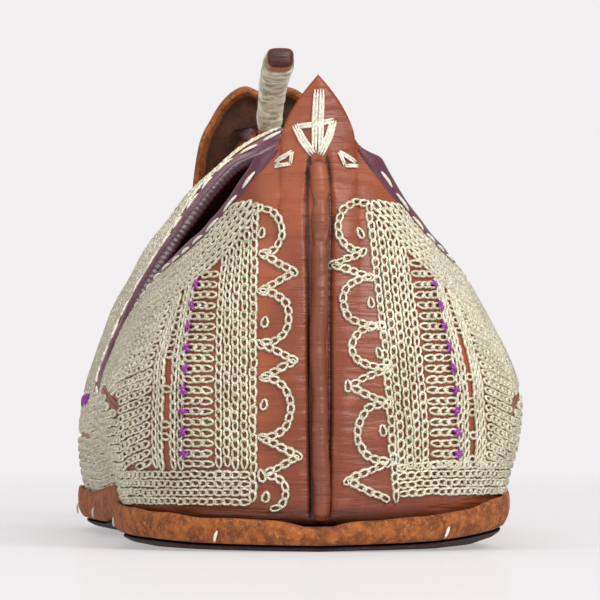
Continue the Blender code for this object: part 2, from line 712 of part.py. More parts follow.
def wrapped():
    """Which points of the tendril's route the thread covers."""
    at = np.linspace(0, 1, TENDRIL_STEPS)
    return (at > WRAP_START) & (at < WRAP_END)


def make_tendril(collection):
    """Leather strip that runs back from the vamp's nose; the thread draws it in where it is wrapped."""
    path, side, out = tendril_path()
    rings = tendril_rings(np.where(wrapped(), WRAP_WAIST - WRAP_THICKNESS - GAP, 0))
    return sweep("toe_tendril", path, side, out, rings, "upper_leather", collection, False, (True, True))


def make_wrap(collection):
    """Gold thread wound round the tendril, as one sleeve."""
    path, side, out = tendril_path()
    kept = np.flatnonzero(wrapped())[1:-1]
    sleeves = []
    for thicker in (WRAP_WAIST, WRAP_WAIST - WRAP_THICKNESS):
        rings = tendril_rings(np.full(TENDRIL_STEPS, thicker))[kept]
        sleeves.append(path[kept, None] + side[kept, None] * rings[..., :1] + out[kept, None] * rings[..., 1:])
    outer, inner = sleeves
    tube = np.concatenate([outer, inner[::-1], outer[:1]], axis=0)
    tube = np.concatenate([tube, tube[:, :1]], axis=1)
    return add_object("tendril_wrap", tube, grid_faces(*tube.shape[:2]), "gold_thread", collection, closed=True)


def main():
    """Builds the shoe, piece by piece."""
    for old in list(bpy.data.objects):
        bpy.data.objects.remove(old, do_unlink=True)
    collection = new_collection("khussa")
    for name in FINISH:
        new_material(name)
    make_outsole(collection)
    make_sole(collection)
    make_insole(collection)
    make_upper(collection)
    make_binding(collection)
    make_back_seam_cord(collection)
    make_tendril(collection)
    make_wrap(collection)


main()
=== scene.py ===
"""Looks of one khussa: a straight-cut leather shoe with a turned-up toe, worked in pale gold chain stitch.

Metres, +Z up, heel towards -Y, toe towards +Y, the ground at zero. The right-hand half of every shape is
worked out for +X. Its other half comes from the same sums with the side turned, so that hand-made unevenness
can differ from side to side. Places on the upper are (at, level): at counts the stations from the heel seam
to the nose, and level goes from 0 at the sole to 1 at the top edge.
"""

from __future__ import annotations

import logging
import math
from dataclasses import dataclass, field
from enum import Enum
from typing import Callable

import bmesh
import bpy
import numpy as np
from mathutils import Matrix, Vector

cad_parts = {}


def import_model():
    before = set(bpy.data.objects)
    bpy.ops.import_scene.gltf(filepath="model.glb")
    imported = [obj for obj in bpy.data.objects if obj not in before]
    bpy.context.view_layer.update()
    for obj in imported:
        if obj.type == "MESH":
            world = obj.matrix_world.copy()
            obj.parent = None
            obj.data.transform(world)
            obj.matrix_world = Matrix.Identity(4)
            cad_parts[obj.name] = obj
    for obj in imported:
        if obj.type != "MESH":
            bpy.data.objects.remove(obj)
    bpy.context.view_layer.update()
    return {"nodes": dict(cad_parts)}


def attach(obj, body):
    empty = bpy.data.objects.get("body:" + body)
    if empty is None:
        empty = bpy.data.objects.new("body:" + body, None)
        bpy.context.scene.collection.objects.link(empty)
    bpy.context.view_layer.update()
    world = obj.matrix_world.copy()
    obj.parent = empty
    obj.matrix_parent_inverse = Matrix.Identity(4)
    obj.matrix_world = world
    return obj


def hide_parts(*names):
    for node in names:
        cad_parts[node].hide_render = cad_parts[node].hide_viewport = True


LOG = logging.getLogger("khussa")
BODY = "root"
MM = 0.001
Array = np.ndarray
Colour = tuple[float, float, float]
Profile = tuple[tuple[float, float], ...]
Material = bpy.types.Material
Piece = bpy.types.Object


class Side(Enum):
    """Which half of the shoe a piece lies on."""

    RIGHT = 1.0
    LEFT = -1.0


class Girth(Enum):
    """Half widths of the sole that the pattern's shares are taken of."""

    HEEL = 0.0330
    WAIST = 0.0315
    BALL = 0.0385
    TOE = 0.01675


class Height(Enum):
    """Heights of the upper that the pattern's shares are taken of."""

    TIP = 0.0779
    TOPLINE = 0.0615
    SIDE = 0.0250
    THROAT = 0.0742
    NOSE = 0.0765


def monotone(knots: Array, values: Array, at: Array) -> Array:
    """Curve through the rows that never swings past one: cubic pieces whose slopes are harmonic means.

    Args:
        knots: places of the rows, rising.
        values: figure in each row.
        at: places to read.

    Returns:
        The figures read at the places.
    """
    step = np.diff(knots)
    rise = np.diff(values) / step
    slope = np.zeros_like(values)
    slope[0], slope[-1] = rise[0], rise[-1]
    same = rise[:-1] * rise[1:] > 0
    slope[1:-1][same] = (2 * rise[:-1] * rise[1:])[same] / (rise[:-1] + rise[1:])[same]
    cell = np.clip(np.searchsorted(knots, at, side="right") - 1, 0, len(step) - 1)
    width = step[cell]
    part = (at - knots[cell]) / width
    start = values[cell] * (1 + 2 * part) * (1 - part) ** 2 + slope[cell] * width * part * (1 - part) ** 2
    end = values[cell + 1] * part**2 * (3 - 2 * part) - slope[cell + 1] * width * part**2 * (1 - part)
    return start + end


def length_run(curve: Array) -> Array:
    """Length of a polyline up to each of its points."""
    return np.concatenate([[0], np.cumsum(np.linalg.norm(np.diff(curve, axis=0), axis=1))])


def read_along(where: Array, run: Array, rows: Array) -> Array:
    """Rows read at lengths along their run."""
    return np.stack([np.interp(where, run, rows[:, k]) for k in range(rows.shape[1])], axis=-1)


def divided(curve: Array, shares: Array) -> Array:
    """Points of a polyline at shares of its length, by reading each coordinate against the length run.

    Args:
        curve: points of the polyline, one a row.
        shares: shares of its length, 0 to 1.

    Returns:
        One point for each share.
    """
    run = length_run(curve)
    return read_along(np.asarray(shares) * run[-1], run, curve)


def through(points: Array, count: int) -> Array:
    """Catmull-Rom curve through points, evenly divided: each piece is a cubic of its four nearest points.

    Args:
        points: points to pass through, one a row.
        count: number of points wanted.

    Returns:
        The evenly divided curve.
    """
    points = np.asarray(points, float)
    padded = np.vstack([2 * points[0] - points[1], points, 2 * points[-1] - points[-2]])
    at = np.linspace(0, len(points) - 1, 40 * len(points))
    cell = np.minimum(at.astype(int), len(points) - 2)
    part = (at - cell)[:, None]
    a, b, c, d = (padded[cell + k] for k in range(4))
    bend = (2 * a - 5 * b + 4 * c - d) * part**2 + (3 * b - a - 3 * c + d) * part**3
    return divided(0.5 * (2 * b + (c - a) * part + bend), np.linspace(0, 1, count))


def unit(vectors: Array) -> Array:
    """Vectors made one unit long."""
    return vectors / np.maximum(np.linalg.norm(vectors, axis=-1, keepdims=True), 1e-12)


def round_angles(count: int) -> Array:
    """Even angles round a circle."""
    return np.arange(count) * 2 * math.pi / count


def squared(turn: Array, power: float) -> tuple[Array, Array]:
    """Cosine and sine to a power below one, so that a round has nearly straight sides."""
    return tuple(np.sign(f(turn)) * np.abs(f(turn)) ** power for f in (np.cos, np.sin))


def within(values: Array, low: float, high: float) -> Array:
    """True where values lie between low and high."""
    return (values > low) & (values < high)


def read_rows(rows: Array, shares: Array) -> Array:
    """Evenly spaced rows, read between one another.

    Args:
        rows: the rows.
        shares: places to read, as shares of the run from the first row to the last.

    Returns:
        One row for each share.
    """
    index = shares * (len(rows) - 1)
    low = np.minimum(index.astype(int), len(rows) - 2)
    part = (index - low)[:, None]
    return rows[low] * (1 - part) + rows[low + 1] * part


def eased(value: Array, low: float, high: float) -> Array:
    """Smooth step from 0 at low to 1 at high: three times the square less twice the cube."""
    part = np.clip((value - low) / (high - low), 0, 1)
    return part * part * (3 - 2 * part)


def grid_quads(rows: int, columns: int) -> Array:
    """Quads of a grid of rows by columns of points, turned so that row cross column points outwards."""
    index = np.arange(rows * columns).reshape(rows, columns)
    quads = np.stack([index[:-1, :-1], index[1:, :-1], index[1:, 1:], index[:-1, 1:]], axis=-1)
    return quads.reshape(-1, 4)


def unevenness(points: Array, size: float, seed: int) -> Array:
    """Soft hand-made unevenness from -1 to 1: the mean of sines that run in fixed directions.

    Args:
        points: places, in metres.
        size: length of the typical wave, in metres.
        seed: picks the directions and phases.

    Returns:
        One figure for each point.
    """
    draw = np.random.default_rng(seed)
    total = np.zeros(points.shape[:-1])
    waves = 9
    for _ in range(waves):
        direction = unit(draw.normal(size=3)) * 2 * math.pi / (size * draw.uniform(0.6, 1.7))
        total += np.sin(points @ direction + draw.uniform(0, 2 * math.pi))
    return total / waves**0.5 / 1.4


# The form the shoe is made on


@dataclass(frozen=True)
class Station:
    """One station of the upper's pattern.

    Attributes:
        foot: share of the half outline where the wall stands on the sole.
        along: place of the top edge as a share of the shoe's length.
        width: half width that across is a share of.
        across: share of that width at the top edge.
        of: height that height is a share of.
        height: share of that height at the top edge.
        rise: reach of the lower wall as a share of the top edge's height.
        flare: lean of the lower wall outwards, in degrees.
        crown: reach of the upper wall as a share of the ball's half width.
        slope: fall of the upper wall, in degrees.
    """

    foot: float
    along: float
    width: Girth
    across: float
    of: Height
    height: float
    rise: float
    flare: float
    crown: float
    slope: float


STATIONS = tuple(
    Station(*row)
    for row in (
        (0.000, 0.0340, Girth.HEEL, 0.000, Height.TIP, 1.000, 0.36, 5, 0.66, 82),
        (0.020, 0.0375, Girth.HEEL, 0.184, Height.TOPLINE, 1.095, 0.40, 9, 0.58, 81),
        (0.038, 0.0400, Girth.HEEL, 0.268, Height.TOPLINE, 1.034, 0.42, 12, 0.55, 79),
        (0.075, 0.0660, Girth.HEEL, 0.515, Height.TOPLINE, 0.862, 0.45, 18, 0.40, 69),
        (0.146, 0.1570, Girth.HEEL, 0.800, Height.TOPLINE, 0.718, 0.53, 22, 0.35, 64),
        (0.260, 0.2850, Girth.WAIST, 1.025, Height.TOPLINE, 0.542, 0.53, 22, 0.23, 67),
        (0.345, 0.3750, Girth.WAIST, 1.098, Height.SIDE, 1.000, 0.52, 22, 0.16, 72),
        (0.380, 0.4140, Girth.BALL, 0.915, Height.SIDE, 1.100, 0.50, 22, 0.19, 70),
        (0.408, 0.4480, Girth.BALL, 0.790, Height.THROAT, 0.540, 0.48, 22, 0.27, 62),
        (0.437, 0.4800, Girth.BALL, 0.575, Height.THROAT, 0.728, 0.43, 22, 0.34, 55),
        (0.467, 0.5110, Girth.BALL, 0.300, Height.THROAT, 0.910, 0.40, 21, 0.38, 34),
        (0.497, 0.5270, Girth.BALL, 0.000, Height.THROAT, 1.000, 0.39, 21, 0.36, 0),
        (0.550, 0.6140, Girth.BALL, 0.000, Height.THROAT, 0.874, 0.44, 22, 0.46, 0),
        (0.640, 0.7290, Girth.BALL, 0.000, Height.THROAT, 0.702, 0.42, 21, 0.50, 0),
        (0.740, 0.8250, Girth.BALL, 0.000, Height.THROAT, 0.667, 0.34, 15, 0.40, 0),
        (0.830, 0.8900, Girth.BALL, 0.000, Height.NOSE, 0.730, 0.22, 9, 0.29, 0),
        (0.915, 0.9280, Girth.BALL, 0.000, Height.NOSE, 0.880, 0.10, 6, 0.20, 0),
        (1.000, 0.9440, Girth.BALL, 0.000, Height.NOSE, 1.000, 0.05, 0, 0.09, 0),
    )
)
# Stations at the tab's edge, furthest forward from behind, lowest at the side, at the throat and the nose
TAB, REAR, LOW_SIDE, THROAT, NOSE = 1, 5, 6, 11, 17

# Side of the flat sole pattern: share of its length, half width, share of that half width
SOLE_SIDE = (
    (0.145, Girth.HEEL, 0.995),
    (0.270, Girth.WAIST, 1.00),
    (0.395, Girth.BALL, 0.93),
    (0.515, Girth.BALL, 1.00),
    (0.615, Girth.BALL, 0.955),
    (0.700, Girth.BALL, 0.82),
    (0.770, Girth.TOE, 1.53),
    (0.835, Girth.TOE, 1.19),
    (0.900, Girth.TOE, 0.97),
)
# Rounded, faintly two-lobed toe end: share of the toe width back from the end, share of its half width
SOLE_TIP = ((0.420, 0.84), (0.200, 0.68), (0.070, 0.50), (0.000, 0.27), (0.045, 0.00))

# Share of the half outline, then shares of back, side and toe rim, of the bare toe border and heel setback
RIM = np.array(
    [
        (0.00, 1.0, 0.0, 0.0, 0.00, 1.0),
        (0.05, 0.8, 0.2, 0.0, 0.00, 0.8),
        (0.14, 0.0, 1.0, 0.0, 0.00, 0.0),
        (0.60, 0.0, 1.0, 0.0, 0.00, 0.0),
        (0.75, 0.0, 0.5, 0.5, 0.00, 0.0),
        (0.86, 0.0, 0.0, 1.0, 0.05, 0.0),
        (0.93, 0.0, 0.0, 1.0, 0.45, 0.0),
        (1.00, 0.0, 0.0, 1.0, 1.00, 0.0),
    ]
)


@dataclass
class Form:
    """The form the shoe is made on: a flat sole pattern turned up at the toe, and walls that stand on it."""

    length: float = 0.280
    toe_height: float = 0.0885
    toe_curl: float = math.radians(101)
    curl_ease: float = 1.15
    arch_rise: float = 0.0012
    rim_width: float = 0.0020
    rim_back: float = 0.0007
    rim_side: float = 0.0036
    rim_toe: float = 0.0026
    rim_clearance: float = 0.0009
    heel_setback: float = 0.0006
    toe_border: float = 0.0072
    edge_lift: tuple[float, float] = (0.0036, 0.0020)
    rim_extra: tuple[float, float] = (0.0018, 0.0002)
    tab_swell: float = 0.0011
    edge_lift_width: float = 0.012
    outsole: float = 0.0007
    gap: float = 0.0003
    sole: float = 0.0031
    curl_steps: int = 240
    outline: Array = field(init=False)

    def __post_init__(self) -> None:
        """Works out the turned-up centre line by adding up steps of a growing angle, then the outline."""
        self.curl_at = np.linspace(0, 1, self.curl_steps)
        self.curl_angle = self.toe_curl * self.curl_at**self.curl_ease
        steps = [(f(self.curl_angle[:-1]) + f(self.curl_angle[1:])) / 2 for f in (np.cos, np.sin)]
        self.forward, self.up = (
            np.concatenate([[0], np.cumsum(step)]) / (self.curl_steps - 1) for step in steps
        )
        self.curl_length = self.toe_height / self.up[-1]
        self.curl_start = self.length - self.curl_length * self.forward.max()
        self.pattern = self.curl_start + self.curl_length
        self.underside = self.outsole + self.gap
        self.seat = self.underside + self.sole
        self.outline = self.half_outline()

    def bend(self, along: Array) -> Array:
        """Angle of the turned-up centre line at a place along the pattern."""
        return np.interp((along - self.curl_start) / self.curl_length, self.curl_at, self.curl_angle)

    def turn_up(self, across: Array, along: Array, above: Array) -> Array:
        """Takes the flat pattern to the shoe: along the curled centre line, then square to it by above.

        Args:
            across: distance from the middle line.
            along: distance along the pattern from the heel's back.
            above: height square to the sole.

        Returns:
            Points in the shoe's frame.
        """
        across, along, above = np.broadcast_arrays(across, along, above)
        part = np.clip((along - self.curl_start) / self.curl_length, 0, 1)
        curled = self.curl_start + self.curl_length * np.interp(part, self.curl_at, self.forward)
        forward = np.where(along < self.curl_start, along, curled)
        arch = np.clip((along / self.pattern - 0.23) / 0.17, 0, 1)
        up = self.curl_length * np.interp(part, self.curl_at, self.up)
        up = up + self.arch_rise * np.sin(math.pi * arch) ** 2
        angle = self.bend(along)
        y = forward - above * np.sin(angle) - self.length / 2
        return np.stack([across, y, up + above * np.cos(angle)], axis=-1)

    def raised(self, outward: Array, along: Array) -> Array:
        """Outward directions of the flat pattern, turned up with the sole at places along it."""
        angle, (across, ahead) = self.bend(along), outward.T
        return np.stack([across, ahead * np.cos(angle), ahead * np.sin(angle)], axis=-1)

    def half_outline(self) -> Array:
        """Right half of the outline: a Catmull-Rom curve through the heel's arc, the side and the tip."""
        radius = Girth.HEEL.value
        arc = np.radians([0, 20, 40, 60, 80])
        toe = Girth.TOE.value
        points = [(radius * math.sin(a), radius * (1 - math.cos(a))) for a in arc]
        points += [(share * width.value, along * self.pattern) for along, width, share in SOLE_SIDE]
        points += [(share * toe, self.pattern - before * 2 * toe) for before, share in SOLE_TIP]
        points = np.array(points)
        mirrored = points * [-1, 1]
        dense = through(np.vstack([mirrored[2:0:-1], points, mirrored[-2:-4:-1]]), 2400)
        right = dense[dense[:, 0] >= 0]
        right[[0, -1], 0] = 0
        return right

    def edge(self, shares: Array) -> tuple[Array, Array]:
        """Point and outward direction of the outline: the direction is its tangent turned by a right angle.

        Args:
            shares: shares of the half outline.

        Returns:
            The points and the directions, in the flat pattern.
        """
        step = 0.004
        point = divided(self.outline, shares)
        before, after = np.clip(shares - step, 0, 1), np.clip(shares + step, 0, 1)
        tangent = divided(self.outline, after) - divided(self.outline, before)
        outward = unit(np.stack([tangent[:, 1], -tangent[:, 0]], axis=-1))
        outward[shares <= 0] = (0, -1)
        outward[shares >= 1] = (0, 1)
        return point, outward

    def rim_share(self, shares: Array, column: int) -> Array:
        """One column of the rim table, read smoothly."""
        return monotone(RIM[:, 0], RIM[:, column], np.asarray(shares, float))

    def rim_height(self, shares: Array, side: Side) -> Array:
        """Height of the rim above the seat: a mix of its back, side and toe heights."""
        parts = (self.rim_back, self.rim_side + self.rim_extra[side is Side.LEFT], self.rim_toe)
        return sum(part * self.rim_share(shares, k + 1) for k, part in enumerate(parts))

    def lift(self, shares: Array, inset: Array, side: Side) -> Array:
        """How far the sole's edge is drawn up at the sides: falls with the square of the way in."""
        most = self.edge_lift[side is Side.LEFT] * self.rim_share(shares, 2)
        return most * np.clip(1 - inset / self.edge_lift_width, 0, 1) ** 2

    def figure(self, read: Callable[[Station], float], at: Array) -> Array:
        """One figure of the stations, read smoothly between them."""
        return monotone(np.arange(len(STATIONS), dtype=float), np.array([*map(read, STATIONS)], float), at)

    def reins(self, at: Array) -> tuple[Array, Array, Array, Array]:
        """Four guide points of each wall: its foot, its two handles and its top edge.

        The first handle goes up from the foot, leaning out by the flare. The second goes out from the top
        edge, falling by the slope.

        Args:
            at: stations, as one row of numbers.

        Returns:
            Foot, lower handle, upper handle and top, each an array of points.
        """
        share = self.figure(lambda s: s.foot, at)
        point, outward = self.edge(share)
        extra = self.heel_setback * self.rim_share(share, 5) + self.toe_border * self.rim_share(share, 4)
        plan = point - outward * (self.rim_width + self.rim_clearance + extra)[:, None]
        plan[(at <= 0) | (at >= NOSE), 0] = 0
        foot = self.turn_up(plan[:, 0], plan[:, 1], self.seat + self.gap)
        across = self.figure(lambda s: s.across * s.width.value, at)
        along = self.figure(lambda s: s.along * self.length, at) - self.length / 2
        height = self.figure(lambda s: s.height * s.of.value, at)
        across += self.tab_swell * np.sin(math.pi * np.clip(at, 0, 1))
        top = np.stack([across, along, height], axis=-1)
        angle = self.bend(plan[:, 1])
        flare = np.radians(self.figure(lambda s: s.flare, at))
        leaning = self.raised(outward, plan[:, 1])
        upright = np.stack([np.zeros_like(angle), -np.sin(angle), np.cos(angle)], axis=-1)
        reach = self.figure(lambda s: s.rise * s.height * s.of.value, at)
        lower = (upright * np.cos(flare)[:, None] + leaning * np.sin(flare)[:, None]) * reach[:, None]
        slope = np.radians(self.figure(lambda s: s.slope, at))
        turned = eased(at, THROAT - 0.5, THROAT)[:, None]
        ending = eased(at, NOSE - 0.3, NOSE)[:, None]
        flat = np.stack([outward[:, 0], outward[:, 1], np.zeros(len(at))], axis=-1)
        flat = flat * (1 - turned) + np.array([1.0, 0, 0]) * turned
        flat = unit(flat * (1 - ending) + np.array([0, 1.0, 0]) * ending)
        fall = flat * np.cos(slope)[:, None] - np.array([0, 0, 1.0]) * np.sin(slope)[:, None]
        crown = self.figure(lambda s: s.crown, at) * Girth.BALL.value
        return foot, foot + lower, top + fall * crown[:, None], top

    def wall(self, at: Array, level: Array) -> Array:
        """Points of the upper's outside on the right: a cubic Bezier curve of the four guide points.

        Args:
            at: stations.
            level: shares of the wall, from foot to top edge.

        Returns:
            Points, in the shape that at and level make together.
        """
        at, level = np.broadcast_arrays(np.asarray(at, float), np.asarray(level, float))
        foot, lower, upper, top = self.reins(at.ravel())
        part = level.ravel()[:, None]
        point = foot * (1 - part) ** 3 + lower * 3 * part * (1 - part) ** 2
        point = point + upper * 3 * part**2 * (1 - part) + top * part**3
        middle = (at.ravel() <= 0) | (at.ravel() >= NOSE) | ((at.ravel() >= THROAT) & (level.ravel() >= 1))
        point[middle, 0] = 0
        return point.reshape(*at.shape, 3)

    def facing(self, at: Array, level: Array) -> Array:
        """Outward directions of the upper: the cross product of its run forward and its run upward.

        Args:
            at: stations.
            level: shares of the wall.

        Returns:
            Unit vectors, in the shape that at and level make together.
        """
        at, level = np.broadcast_arrays(np.asarray(at, float), np.asarray(level, float))
        reach, step = 0.06, 0.01
        before, after = np.maximum(at - reach, 0), np.minimum(at + reach, NOSE - 1e-4)
        ahead = self.wall(after, level) - self.wall(before, level)
        above = self.wall(at, np.minimum(level + step, 1)) - self.wall(at, np.maximum(level - step, 0))
        out = np.cross(ahead, above)
        out[np.abs(self.wall(at, level)[..., 0]) < 1e-9, 0] = 0
        return unit(out)


# Creases and the surface that everything lies on


@dataclass(frozen=True)
class Crease:
    """A soft trough or ridge of the leather, laid through given (at, level) places.

    Its depth is the height at its middle, below zero for a trough, and its width the reach to each side, both
    in millimetres.
    """

    places: tuple[tuple[float, float], ...]
    depth: float
    width: float
    sides: tuple[Side, ...] = (Side.RIGHT, Side.LEFT)


CREASES = (
    # Furrows that the heel seam pulls in, and the puffed leather beside them
    Crease(((0.20, 0.02), (0.22, 0.25), (0.19, 0.5), (0.22, 0.72), (0.16, 0.84)), -0.75, 0.38),
    Crease(((0.52, 0.03), (0.54, 0.3), (0.50, 0.55), (0.54, 0.78)), 0.22, 1.6),
    # Dents where the tab starts and where the edging ends under it
    Crease(((0.0, 0.80), (0.55, 0.805), (0.95, 0.84)), -0.28, 1.3, (Side.RIGHT,)),
    Crease(((0.0, 0.80), (0.50, 0.815), (0.95, 0.85)), -0.30, 1.2, (Side.LEFT,)),
    # Level folds across the plain strip
    Crease(((0.4, 0.745), (1.3, 0.75), (2.1, 0.80)), -0.20, 0.6, (Side.LEFT,)),
    Crease(((0.3, 0.915), (0.7, 0.91)), -0.22, 0.6, (Side.LEFT,)),
    Crease(((0.45, 0.60), (1.1, 0.59)), -0.10, 0.8, (Side.LEFT,)),
    Crease(((0.45, 0.36), (1.2, 0.37)), -0.10, 0.9, (Side.RIGHT,)),
    Crease(((0.5, 0.15), (1.3, 0.17)), -0.12, 0.9, (Side.RIGHT,)),
    Crease(((0.5, 0.24), (1.2, 0.22)), -0.10, 0.8, (Side.LEFT,)),
    # Soft hollow of the quarter above the sole and a belly over it
    Crease(((2.5, 0.12), (4.0, 0.13), (6.0, 0.16), (8.0, 0.10)), -0.35, 3.5),
    Crease(((3.0, 0.42), (4.2, 0.45), (5.5, 0.5)), 0.40, 5.0, (Side.RIGHT,)),
    Crease(((3.2, 0.48), (4.4, 0.50), (5.7, 0.5)), 0.35, 4.5, (Side.LEFT,)),
    # Bends that run across the vamp from its ridge
    Crease(((12.6, 1.0), (12.7, 0.78), (12.4, 0.55)), -0.55, 3.2),
    Crease(((13.3, 1.0), (13.5, 0.75), (13.3, 0.5)), -0.50, 2.8, (Side.RIGHT,)),
    Crease(((13.4, 1.0), (13.3, 0.75), (13.6, 0.5)), -0.45, 2.8, (Side.LEFT,)),
    Crease(((13.0, 0.98), (13.1, 0.7)), 0.35, 3.0),
    # Gathers where the vamp is drawn together at the toe
    Crease(((15.2, 0.15), (15.5, 0.55), (16.0, 0.95)), -0.35, 1.3, (Side.RIGHT,)),
    Crease(((15.8, 0.10), (16.2, 0.50), (16.6, 0.9)), -0.30, 1.0, (Side.LEFT,)),
    Crease(((14.6, 0.12), (14.8, 0.45), (15.1, 0.8)), -0.30, 1.6, (Side.LEFT,)),
)


@dataclass
class Skin:
    """The upper's outside as it is seen: the form with its creases and its hand-made unevenness."""

    form: Form
    waviness: float = 0.16 * MM
    wave_size: float = 11 * MM
    steps: int = 14

    def __post_init__(self) -> None:
        """Turns each crease's places into a line of points on the shoe."""
        self.lines = []
        for crease in CREASES:
            places = divided(np.array(crease.places), np.linspace(0, 1, self.steps))
            line = self.form.wall(places[:, 0], places[:, 1])
            for side in crease.sides:
                self.lines.append((line * [side.value, 1, 1], crease.depth * MM, crease.width * MM))

    def relief(self, points: Array, waves: bool = True) -> Array:
        """Height of the creases: each adds its depth times a bell curve of the distance to its line.

        Args:
            points: places on the form.
            waves: add the hand-made unevenness.

        Returns:
            Height above the form, in metres.
        """
        flat = points.reshape(-1, 3)
        total = self.waviness * unevenness(flat, self.wave_size, 4) * waves
        for line, depth, width in self.lines:
            low, high = line.min(0) - 3 * width, line.max(0) + 3 * width
            near = np.flatnonzero(np.all((flat > low) & (flat < high), axis=1))
            if not len(near):
                continue
            start, run = line[:-1], np.diff(line, axis=0)
            from_start = flat[near][:, None] - start
            part = np.clip((from_start * run).sum(-1) / np.maximum((run * run).sum(-1), 1e-12), 0, 1)
            away = np.linalg.norm(from_start - run * part[..., None], axis=-1).min(1)
            total[near] += depth * np.exp(-((away / width) ** 2))
        return total.reshape(points.shape[:-1])

    def place(self, at: Array, level: Array, side: float, lift: float = 0.0) -> tuple[Array, Array]:
        """Points on the seen surface and the outward directions there.

        Args:
            at: stations.
            level: shares of the wall.
            side: 1 for the right half, -1 for the left.
            lift: extra height above the surface.

        Returns:
            Points and unit directions.
        """
        turn = np.array([side, 1.0, 1.0])
        point, out = self.form.wall(at, level) * turn, self.form.facing(at, level) * turn
        return point + out * (self.relief(point) + lift)[..., None], out


# Meshes


def new_object(name: str, points: Array, quads: Array, finishes: list[Material]) -> Piece:
    """Mesh object from arrays of points and quads.

    Args:
        name: the piece's name.
        points: its points, in metres in the shoe's frame.
        quads: four point numbers for each face.
        finishes: materials for its slots.

    Returns:
        The object, linked to the scene.
    """
    mesh = bpy.data.meshes.new(name)
    points = np.ascontiguousarray(points, np.float32).reshape(-1, 3)
    quads = np.ascontiguousarray(quads, np.int32).reshape(-1, 4)
    mesh.vertices.add(len(points))
    mesh.vertices.foreach_set("co", points.ravel())
    mesh.loops.add(quads.size)
    mesh.loops.foreach_set("vertex_index", quads.ravel())
    mesh.polygons.add(len(quads))
    mesh.polygons.foreach_set("loop_start", np.arange(0, quads.size, 4, dtype=np.int32))
    mesh.update(calc_edges=True)
    mesh.validate()
    mesh.shade_smooth()
    piece = bpy.data.objects.new(name, mesh)
    for finish in finishes:
        mesh.materials.append(finish)
    bpy.context.scene.collection.objects.link(piece)
    return piece


def joined(piece: Piece, outwards: bool = False) -> None:
    """Merges doubled points of a piece and takes empty faces away.

    Args:
        piece: the piece.
        outwards: turn its faces outwards too.
    """
    shape = bmesh.new()
    shape.from_mesh(piece.data)
    bmesh.ops.remove_doubles(shape, verts=shape.verts, dist=2e-6)
    bmesh.ops.dissolve_degenerate(shape, dist=1e-7, edges=shape.edges)
    if outwards:
        bmesh.ops.recalc_face_normals(shape, faces=shape.faces)
    shape.to_mesh(piece.data)
    shape.free()


def mark(piece: Piece, name: str, values: Array) -> None:
    """Keeps one figure a point on the piece, for its material."""
    layer = piece.data.attributes.new(name, "FLOAT", "POINT")
    layer.data.foreach_set("value", np.ascontiguousarray(values, np.float32).ravel())


def dressed(piece: Piece, slot: str, *nodes: str) -> None:
    """Rides a piece on the shoe and hides the CAD nodes that it stands for.

    Args:
        piece: the finished piece.
        slot: not used.
        nodes: CAD nodes that it replaces.
    """
    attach(piece, BODY)
    if nodes:
        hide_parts(*nodes)
    LOG.info("%s: %d faces", piece.name, len(piece.data.polygons))


def end_cap(corners: int) -> Array:
    """Quads that close a ring of an even number of corners, each between two pairs of opposite corners."""
    half = np.arange(corners // 2 - 1)
    return np.stack([half, half + 1, corners - 2 - half, corners - 1 - half], axis=-1)


def strands(paths: Array, outs: Array, radius: Array, corners: int, flat: float = 1.0) -> tuple[Array, Array]:
    """Round or flattened threads: a ring of corners is carried along each path, and the ends are closed.

    Each ring is radius times (cosine along the side direction, sine along the out direction times flat).

    Args:
        paths: threads by points by three.
        outs: the out direction at each point, in the same shape.
        radius: radius, for each point or for each thread and point.
        corners: corners of a ring, an even number.
        flat: height of the thread as a share of its width.

    Returns:
        Points and quads.
    """
    run = unit(np.gradient(paths, axis=1))
    side = unit(np.cross(run, outs))
    up = np.cross(side, run)
    turn = round_angles(corners)
    wide = np.broadcast_to(radius, paths.shape[:2])[..., None, None]
    ring = side[:, :, None] * np.cos(turn)[:, None] + up[:, :, None] * (flat * np.sin(turn))[:, None]
    points = paths[:, :, None] + ring * wide
    threads, rings = paths.shape[:2]
    index = np.arange(rings * corners).reshape(rings, corners)
    around = np.roll(index, -1, axis=1)
    body = np.stack([index[:-1], around[:-1], around[1:], index[1:]], axis=-1).reshape(-1, 4)
    cap = end_cap(corners)
    one = np.concatenate([body, cap[:, ::-1], cap + (rings - 1) * corners])
    quads = one[None] + (np.arange(threads) * rings * corners)[:, None, None]
    return points.reshape(-1, 3), quads.reshape(-1, 4)


def on_side(points: Array, quads: Array, side: Side) -> tuple[Array, Array]:
    """Points and quads of one half, with the quads turned over on the left."""
    return points.reshape(-1, 3), quads if side is Side.RIGHT else quads[:, ::-1]


def together(parts: list[tuple[Array, Array]]) -> tuple[Array, Array]:
    """Joins lists of points and quads into one, with the point numbers moved up."""
    start = np.cumsum([0, *[len(points) for points, _ in parts[:-1]]])
    return (
        np.concatenate([points for points, _ in parts]),
        np.concatenate([quads + first for (_, quads), first in zip(parts, start)]),
    )


def tapered(count: int, blunt: float = 0.35) -> Array:
    """Thickness of a stitch along its length: a sine to a small power, so the ends dip into the leather."""
    return np.maximum(np.sin(np.linspace(0.04, math.pi - 0.04, count)), 0) ** blunt


# Shaders


